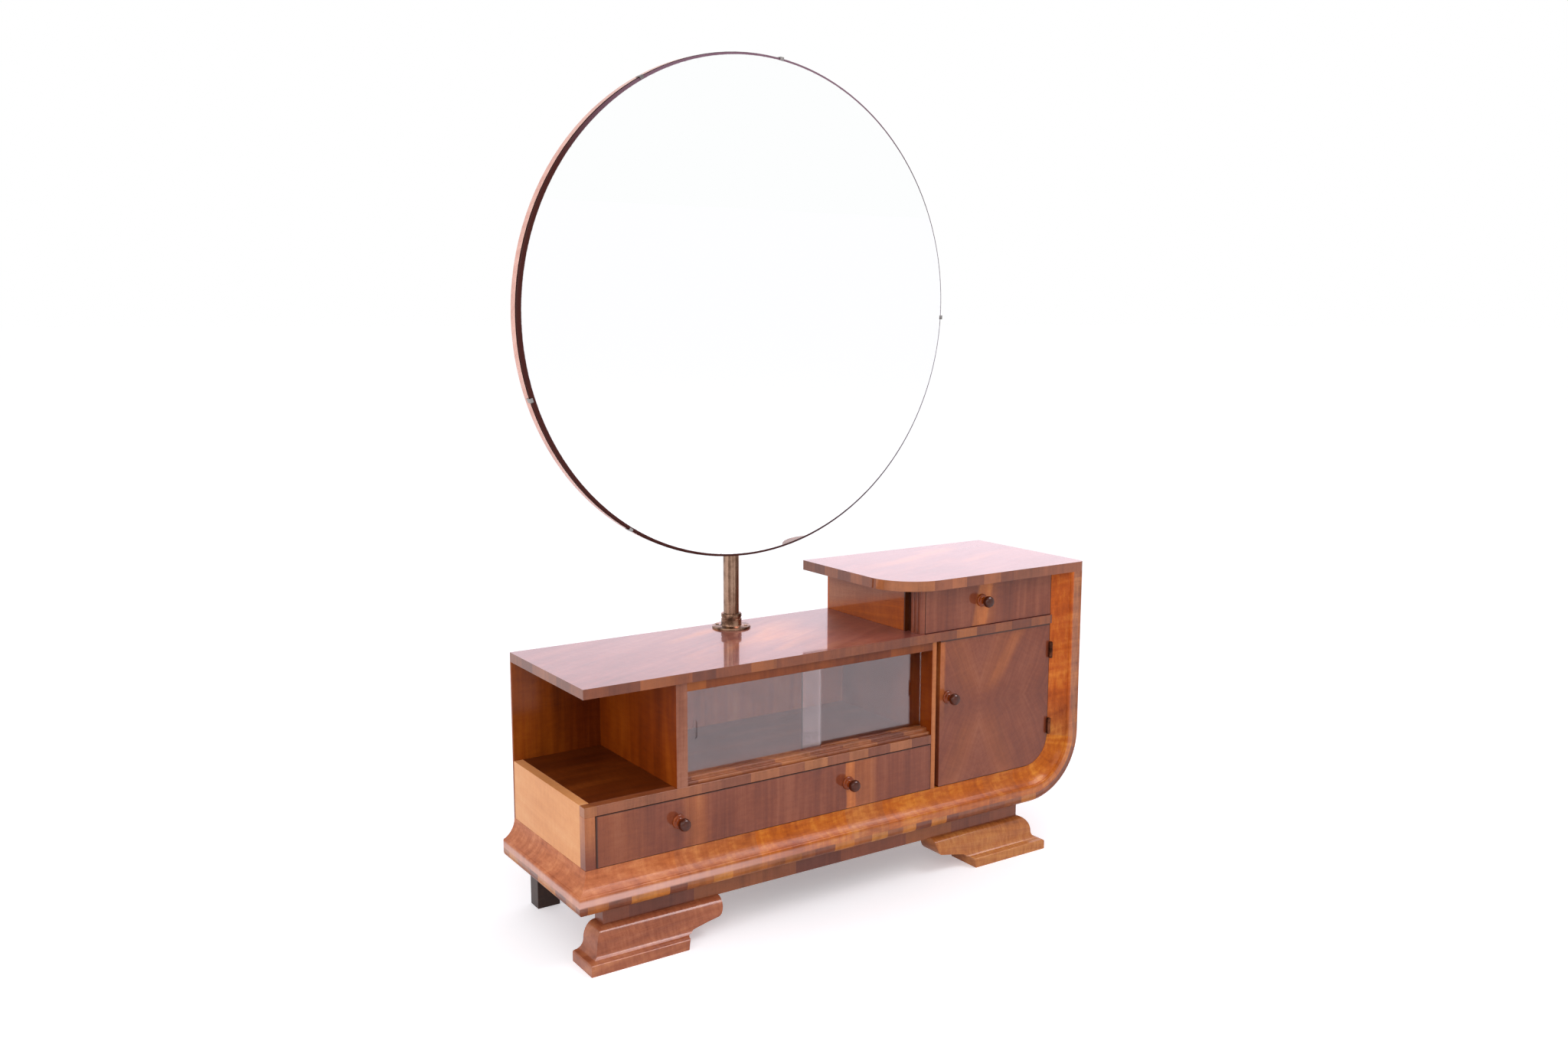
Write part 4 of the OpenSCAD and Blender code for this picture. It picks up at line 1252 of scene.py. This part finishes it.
@dataclass(frozen=True)
class Body:
    """The fixed carcass: rails, panels, tops, feet and the curved frame.

    The corner is where the centre of the moulding's bend lies, x and z in metres.
    """

    corner: tuple[float, float] = (1.130, 0.265)
    corner_radius: float = 0.150
    easing: float = 0.0008
    foot_easing: float = 0.004

    def build(self) -> None:
        """Ease the edges and finish every fixed wooden piece."""
        self._dress_moulding()
        self._dress_tops()
        self._dress_bays()
        self._dress_hidden()
        ease_edges(self.foot_easing, "front_foot_left", "front_foot_right", rounds=5)
        ease_edges(self.easing, "low_top", "upper_slab",
                   "left_side_panel", "left_stile", "shelf_rail", "niche_partition",
                   "cupboard_divider", "upper_side_panel", "glass_upper_track",
                   "glass_lower_track", "rear_legs", "shelf_board")

    def _dress_moulding(self) -> None:
        """Finish the curved frame, the base return, the plinth and the feet."""
        # The number after the rosy stretch is the strength of the painted highlight on the ridge.
        dress(CrossBanded("moulding_front", Run.FRONT, self.corner, self.corner_radius,
                          (0.40, 0.02), 0.55), "curved_front_frame")
        dress(CrossBanded("moulding_side", Run.SIDE, self.corner, self.corner_radius,
                          (3.0, 2.0), 0.25), "base_left_moulding")
        dress(BandedRail("plinth_walnut", 0.13, PLINTH_TINTS, HIGH_POLISH), "plinth_rail")
        for side, species, lean in (("left", FOOT_WALNUT, 6.0), ("right", RIGHT_FOOT_WALNUT, -7.0)):
            dress(PlainWood(f"foot_walnut_{side}", species, Grain(Axis.X, lean), FOOT_POLISH),
                  f"front_foot_{side}")

    def _dress_tops(self) -> None:
        """Finish the low top and the raised slab."""
        dress(PolishedTop("low_top_walnut", 24.0, 0.0, 0.06, (0.45, 0.28), EDGE_TINTS,
                          LOW_TOP_POLISH), "low_top")
        dress(PolishedTop("slab_walnut", 18.0, 2.0, 0.05, (1.0, 0.3), SLAB_TINTS, SLAB_POLISH),
              "upper_slab")

    def _dress_bays(self) -> None:
        """Finish the side panels, the uprights and the boards that line the bays."""
        dress(PlainWood("side_walnut", PALE_WALNUT, Grain(Axis.Y, 4.0), SOFT_POLISH),
              "left_side_panel")
        dress(PlainWood("stile_walnut", STILE_WALNUT, Grain(Axis.Z), HIGH_POLISH,
                        below=FRONT_WALNUT, turn=(0.20, 0.285)), "left_stile")
        dress(PlainWood("curved_side_walnut", EDGE_WALNUT, Grain(Axis.Z), HIGH_POLISH),
              "curved_side_panel")
        # Painted shade darkens the groove beside the corner post.
        dress(PlainWood("post_walnut", BROWN_WALNUT, Grain(Axis.Z), HIGH_POLISH,
                        groove=(0.0385, 0.06)), "corner_post")
        # The upper side panel gets painted shade in its groove and a painted amber reflection below
        # a line leaning with y.
        dress(PlainWood("upper_side_walnut", RECESS_WALNUT, Grain(Axis.Y, -5.0), HIGH_POLISH,
                        below=AMBER_PAINTED_REFLECTION, turn=(0.630, 0.662), slope=0.23,
                        groove=(0.04, 0.0545)), "upper_side_panel")
        for name, block, tints, polish, offset, node in (
                ("shelf_rail_walnut", 0.06, RAIL_TINTS, EDGE_POLISH, 0.4, "shelf_rail"),
                ("lower_track_walnut", 0.09, RAIL_TINTS, HIGH_POLISH, 0.9, "glass_lower_track"),
                ("upper_track_walnut", 0.08, EDGE_TINTS, SOFT_POLISH, 0.3, "glass_upper_track")):
            dress(BandedRail(name, block, tints, polish, offset), node)
        for name, lipping, node in (("partition_walnut", PARTITION_EDGE, "niche_partition"),
                                    ("divider_walnut", STILE_WALNUT, "cupboard_divider")):
            dress(EdgedBoard(name, NICHE_WALNUT, lipping, Grain(Axis.Z), NICHE_POLISH), node)
        dress(BackBoard("niche_back_walnut"), "back_boards")
        dress(PlainWood("niche_floor_walnut", FLOOR_WALNUT, Grain(Axis.X), NICHE_POLISH),
              "shelf_board")

    def _dress_hidden(self) -> None:
        """Finish the pieces under and behind."""
        dress(PlainWood("dark_stain", DARK_STAIN, Grain(Axis.X), SOFT_POLISH),
              "base_back_rail", "base_bearers", "rear_legs")
        dress(PlainWood("inner_beech", BEECH, Grain(Axis.X), BARE_WOOD),
              "base_floor", "door_stop", "cupboard_wall", "drawer_guide")


@dataclass(frozen=True)
class TurnedKnob:
    """A turned knob: a base against the wood, a waisted neck and a flattened round head."""

    base_radius: float = 0.0145
    neck_radius: float = 0.0068
    head_radius: float = 0.013
    stand_out: float = 0.033
    head_start: float = -0.0165

    def finish(self) -> bpy.types.Material:
        """The wood of the knobs."""
        return TurnedWood("knob_walnut", self.head_start).build()

    def shape(self, places: Sequence[tuple[float, float]]) -> bmesh.types.BMesh:
        """Turn one knob at each place on a front.

        Args:
            places: the x and z of each knob, in metres.

        Returns:
            The mesh.
        """
        base, neck, head, out = (self.base_radius, self.neck_radius, self.head_radius,
                                 self.stand_out)
        profile = Profile(((0.0, 0.0), (base, 0.0), (base, 0.0026), (base - 0.002, 0.0042),
                           (neck + 0.001, 0.0056), (neck, 0.009), (neck, 0.013),
                           (neck + 0.0014, 0.0158), (head - 0.0022, 0.0172), (head, 0.0205),
                           (head, out - 0.0072), (head - 0.0018, out - 0.0032),
                           (head - 0.005, out - 0.0008), (0.003, out), (0.0, out)), 2)
        turning = Turning(64)
        for x, z in places:
            seat = Matrix.Translation((x, 0.0, z)) @ Matrix.Rotation(math.pi / 2.0, 4, "X")
            turning.add(profile, seat)
        return turning.mesh


@dataclass(frozen=True)
class Drawers:
    """The long drawer and the one over the cupboard."""

    long_foot: float = 0.197
    upper_foot: float = 0.56
    long_knobs: tuple[tuple[float, float], ...] = ((0.203, 0.253), (0.617, 0.253))
    upper_knobs: tuple[tuple[float, float], ...] = ((0.985, 0.610),)
    easing: float = 0.0006

    def build(self, knob: TurnedKnob) -> None:
        """Build the knobs and finish both drawers.

        Args:
            knob: the knob that the table has throughout.
        """
        long_front = StripedVeneer(
            "long_front_walnut",
            (Streak(0.248, 0.022, 0.016, 0.05, 0.45), Streak(0.6235, 0.0115, 0.003, 0.0, 0.85),
             Streak(0.655, 0.030, 0.020, 0.0, 0.4), Streak(0.075, 0.055, 0.045, 0.1, 0.16)),
            self.long_foot, Joints((0.023, 0.0036), (0.844, 0.0008), (0.196, 0.0006),
                                   (0.299, 0.0016)))
        upper_front = StripedVeneer(
            "upper_front_walnut",
            (Streak(0.981, 0.019, 0.006, -0.2, 0.85), Streak(1.008, 0.014, 0.012, -0.1, 0.3)),
            self.upper_foot, Joints((0.823, 0.0008), (1.199, 0.0008), (0.553, 0.0003),
                                    (0.651, 0.0004)))
        dress(long_front, "lower_drawer_front")
        dress(upper_front, "upper_drawer_front")
        dress(PlainWood("drawer_beech_sides", BEECH, Grain(Axis.Y), BARE_WOOD),
              "lower_drawer_sides", "upper_drawer_sides")
        dress(PlainWood("drawer_beech_backs", BEECH, Grain(Axis.X), BARE_WOOD),
              "lower_drawer_back", "upper_drawer_back", "lower_drawer_bottom",
              "upper_drawer_bottom")
        ease_edges(self.easing, "lower_drawer_sides", "upper_drawer_sides")
        turned = knob.finish()
        set_up("long_drawer_turned_knobs", knob.shape(self.long_knobs), turned,
               "lower_drawer", "lower_drawer_knobs")
        set_up("upper_drawer_turned_knob", knob.shape(self.upper_knobs), turned,
               "upper_drawer", "upper_drawer_knob")


@dataclass(frozen=True)
class Door:
    """The cupboard door with its hinges and catch."""

    seam: float = 0.985
    heart: float = 0.372
    left_edge: float = 0.868
    knobs: tuple[tuple[float, float], ...] = ((0.891, 0.400),)

    def build(self, knob: TurnedKnob) -> None:
        """Build the knob and finish the door and its fittings.

        Args:
            knob: the knob that the table has throughout.
        """
        gaps = Joints((0.0, 0.0008), (1.199, 0.0008), (0.196, 0.0008), (0.531, 0.0036))
        dress(FanVeneer("door_walnut", self.seam, self.heart, self.left_edge, gaps), "door_panel")
        set_up("door_turned_knob", knob.shape(self.knobs), knob.finish(), "door", "door_knob")
        dress(AgedMetal("hinge_brass", Tint(112, 66, 46), Tint(54, 30, 22), 0.45),
              "hinge_frame_leaves", "hinge_door_leaves", "hinge_pins", "hinge_frame_screws",
              "hinge_door_screws")
        dress(AgedMetal("catch_brass", Tint(176, 142, 84), Tint(110, 84, 50), 0.32),
              "door_catch", "door_catch_tongue")
        dress(AgedMetal("screw_steel", Tint(150, 150, 148), Tint(98, 96, 94), 0.35),
              "lower_drawer_knob_screws", "upper_drawer_knob_screw", "door_knob_screw")


@dataclass(frozen=True)
class GlassBay:
    """The two sliding panes, which model.glb holds in full."""

    def build(self) -> None:
        """Finish both panes in clear glass."""
        dress(PlateGlass("pane_glass"), "left_glass_pane", "right_glass_pane")


@dataclass(frozen=True)
class MirrorStand:
    """The pole, its foot, and the round mirror that turns and tilts on it."""

    pole_radius: float = 0.0175
    pole_foot: tuple[float, float, float] = (0.507, 0.296, 0.552)
    pole_top: float = 1.290
    bore_radius: float = 0.0178
    flange_radius: float = 0.043
    collar_radius: float = 0.023
    tilt: float = 2.8

    def build(self) -> None:
        """Turn what is round, and finish the rest."""
        foot = Matrix.Translation(self.pole_foot)
        self._turn_pole(foot)
        self._turn_flange(foot)
        dress(AgedMetal("arm_brass", Tint(168, 132, 84), Tint(104, 80, 52), 0.34),
              "pole_stop_ring", "flange_screws", "mirror_swivel_arm", "mirror_tilt_pin",
              "mirror_plate")
        dress(AgedMetal("clip_steel", Tint(150, 146, 144), Tint(106, 102, 100), 0.28),
              "mirror_clips")
        # The rim's side is pale pink: its wood's colour and a painted reflection.
        dress(EdgedBoard("mirror_rim", RIM_WALNUT_AND_PAINTED_REFLECTION, DARK_STAIN, Grain(Axis.X), SOFT_POLISH),
              "mirror_backboard")
        low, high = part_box("mirror_glass")
        middle = self.pole_foot[0]
        dress(SilveredGlass("mirror_silver", (middle, (low.z + high.z) / 2.0), high.x - middle,
                            self.tilt), "mirror_glass")

    def _turn_pole(self, foot: Matrix) -> None:
        """Turn the pole, whose top is closed with a low cap.

        Args:
            foot: where it stands.
        """
        bronze = AgedMetal("pole_bronze", Tint(172, 139, 118), Tint(108, 82, 66), 0.3, True)
        height = self.pole_top - self.pole_foot[2]
        radius = self.pole_radius
        turning = Turning()
        turning.add(Profile(((0.0, 0.0), (radius, 0.0), (radius, height - 0.0024),
                             (radius - 0.0007, height - 0.0007),
                             (radius - 0.0026, height), (0.0, height))), foot)
        set_up("pole_turned", turning.mesh, bronze.build(), "carcass", "pole")

    def _turn_flange(self, foot: Matrix) -> None:
        """Turn the flange with its grooved collar, one ring round the pole.

        Args:
            foot: where it lies.
        """
        bronze = AgedMetal("flange_bronze", Tint(152, 118, 98), Tint(84, 60, 46), 0.32)
        bore, rim, collar = self.bore_radius, self.flange_radius, self.collar_radius
        turning = Turning(128)
        turning.add(Profile((
            (bore, 0.0), (rim, 0.0), (rim, 0.0026), (rim - 0.0007, 0.0042),
            (rim - 0.0026, 0.005), (collar + 0.0024, 0.005), (collar + 0.0008, 0.0056),
            (collar, 0.0072), (collar, 0.0200), (collar - 0.0006, 0.0206),
            (collar - 0.0016, 0.0208), (collar - 0.0016, 0.0240), (collar - 0.0006, 0.0242),
            (collar, 0.0248), (collar, 0.0306), (collar - 0.0007, 0.0323),
            (collar - 0.0024, 0.033), (bore, 0.033))), foot, closed=True)
        set_up("pole_flange_turned", turning.mesh, bronze.build(), "carcass", "pole_flange")


@dataclass(frozen=True)
class Lamp:
    """One soft square lamp, aimed at the middle of the table."""

    name: str
    spot: tuple[float, float, float]
    size: tuple[float, float]
    power: float
    tint: tuple[float, float, float] = (1.0, 1.0, 1.0)
    aim: tuple[float, float, float] = (0.6, 0.15, 0.5)
    lights_wood: bool = True

    def hang(self) -> None:
        """Hang the lamp. The camera doesn't see it, so that it never hides the table."""
        data = bpy.data.lights.new(self.name, "AREA")
        data.shape = "RECTANGLE"
        data.size, data.size_y = self.size
        data.energy = self.power
        data.color = self.tint
        lamp = bpy.data.objects.new(self.name, data)
        lamp.location = self.spot
        towards = Vector(self.aim) - Vector(self.spot)
        lamp.rotation_euler = towards.to_track_quat("-Z", "Y").to_euler()
        lamp.visible_camera = False
        lamp.visible_diffuse = self.lights_wood
        bpy.context.scene.collection.objects.link(lamp)


@dataclass(frozen=True)
class Studio:
    """The pale room: floor, sky, lamps and the camera of the photograph.

    The floor glows a little where it is seen: by the first of floor_glow under the table, where
    its lower glow paints a shadow, by the second past the near ring and by the third past the
    far ring.
    """

    azimuth: float = -33.587
    elevation: float = 8.412
    roll: float = 0.063
    spot: tuple[float, float, float] = (-1.0633, -2.2813, 1.2356)
    middle: tuple[float, float] = (0.66, 0.17)
    lens: float = 31.593
    sky: float = 0.66
    film_width: float = 36.0
    floor_size: float = 400.0
    floor_glow: tuple[float, float, float] = (0.27, 0.41, 0.45)
    near_ring: tuple[float, float] = (0.05, 0.8)
    far_ring: tuple[float, float] = (1.2, 6.0)
    lamps: tuple[Lamp, ...] = (
        Lamp("front_lamp", (-1.8, -3.2, 3.0), (2.6, 2.6), 38.0),
        Lamp("left_lamp", (-3.2, -0.4, 2.0), (2.4, 2.4), 30.0),
        Lamp("top_lamp", (2.3, -1.4, 3.3), (1.9, 0.9), 34.0, (1.0, 0.96, 1.0)),
        Lamp("gleam_card", (2.2, -1.0, 3.2), (2.2, 2.0), 90.0, (1.0, 0.86, 0.92),
             lights_wood=False),
        Lamp("back_window", (2.28, 2.66, 1.25), (3.6, 1.4), 12.0, (1.0, 0.66, 0.86),
             (0.6, 0.17, 0.9)))

    def build(self) -> None:
        """Make the room and point the camera."""
        self._paint_sky()
        self._lay_floor()
        for lamp in self.lamps:
            lamp.hang()
        self._set_camera()
        bpy.context.scene.view_settings.view_transform = "Standard"

    def _paint_sky(self) -> None:
        """A white sky where it is seen, and a plain level of light elsewhere."""
        world = bpy.data.worlds.new("studio_sky")
        bpy.context.scene.world = world
        graph = NodeGraph(world)
        strength = graph.seen() * (1.0 - self.sky) + self.sky
        graph.surface(graph.node("ShaderNodeBackground", inputs={
            "Color": (1.0, 1.0, 1.0, 1.0), "Strength": strength}))

    def _lay_floor(self) -> None:
        """A pale floor that keeps the object's shadow and is white away from it."""
        mesh = bpy.data.meshes.new("floor")
        half = self.floor_size / 2.0
        mesh.from_pydata([(-half, -half, 0.0), (half, -half, 0.0), (half, half, 0.0),
                          (-half, half, 0.0)], [], [(0, 1, 2, 3)])
        floor = bpy.data.objects.new("floor", mesh)
        bpy.context.scene.collection.objects.link(floor)
        graph = NodeGraph.named("floor_paper")
        x, y, _ = graph.place()
        off_x = x - self.middle[0]
        off_y = y - self.middle[1]
        reach = (off_x * off_x + off_y * off_y).root()
        # Painted shadow: the glow is lowest under the table, then rises past the near ring and
        # again past the far ring.
        under, near, far = self.floor_glow
        level = (reach.ramp_up(*self.near_ring) * (near - under)
                 + reach.ramp_up(*self.far_ring) * (far - near) + under)
        paper = graph.node("ShaderNodeBsdfDiffuse", inputs={0: Tint(240, 240, 241).linear})
        colour = graph.blend(level, Tint(0, 0, 0), Tint(251, 249, 255))
        glow = graph.node("ShaderNodeEmission", inputs={0: colour, "Strength": graph.seen()})
        shader = graph.node("ShaderNodeAddShader", inputs={0: paper, 1: glow})
        floor.data.materials.append(graph.surface(shader))

    def _set_camera(self) -> None:
        """Set up the camera that the photograph's straight edges give."""
        azimuth, elevation, roll = (math.radians(value) for value in
                                    (self.azimuth, self.elevation, self.roll))
        back = Vector((math.sin(azimuth) * math.cos(elevation),
                       -math.cos(azimuth) * math.cos(elevation), math.sin(elevation)))
        right = (-back).cross(Vector((0.0, 0.0, 1.0))).normalized()
        up = right.cross(-back)
        right, up = (right * math.cos(roll) + up * math.sin(roll),
                     up * math.cos(roll) - right * math.sin(roll))
        data = bpy.data.cameras.new("camera")
        data.lens = self.lens
        data.sensor_width = self.film_width
        data.sensor_fit = "HORIZONTAL"
        camera = bpy.data.objects.new("camera", data)
        turned = Matrix((right, up, back)).transposed().to_4x4()
        camera.matrix_world = Matrix.Translation(Vector(self.spot)) @ turned
        bpy.context.scene.collection.objects.link(camera)
        bpy.context.scene.camera = camera


def main() -> None:
    """Build the room, then each part of the table in turn."""
    logging.basicConfig(level=logging.INFO, format="%(message)s")
    knob = TurnedKnob()
    Studio().build()
    Body().build()
    Drawers().build(knob)
    Door().build(knob)
    GlassBay().build()
    MirrorStand().build()


if __name__ == "__main__":
    main()
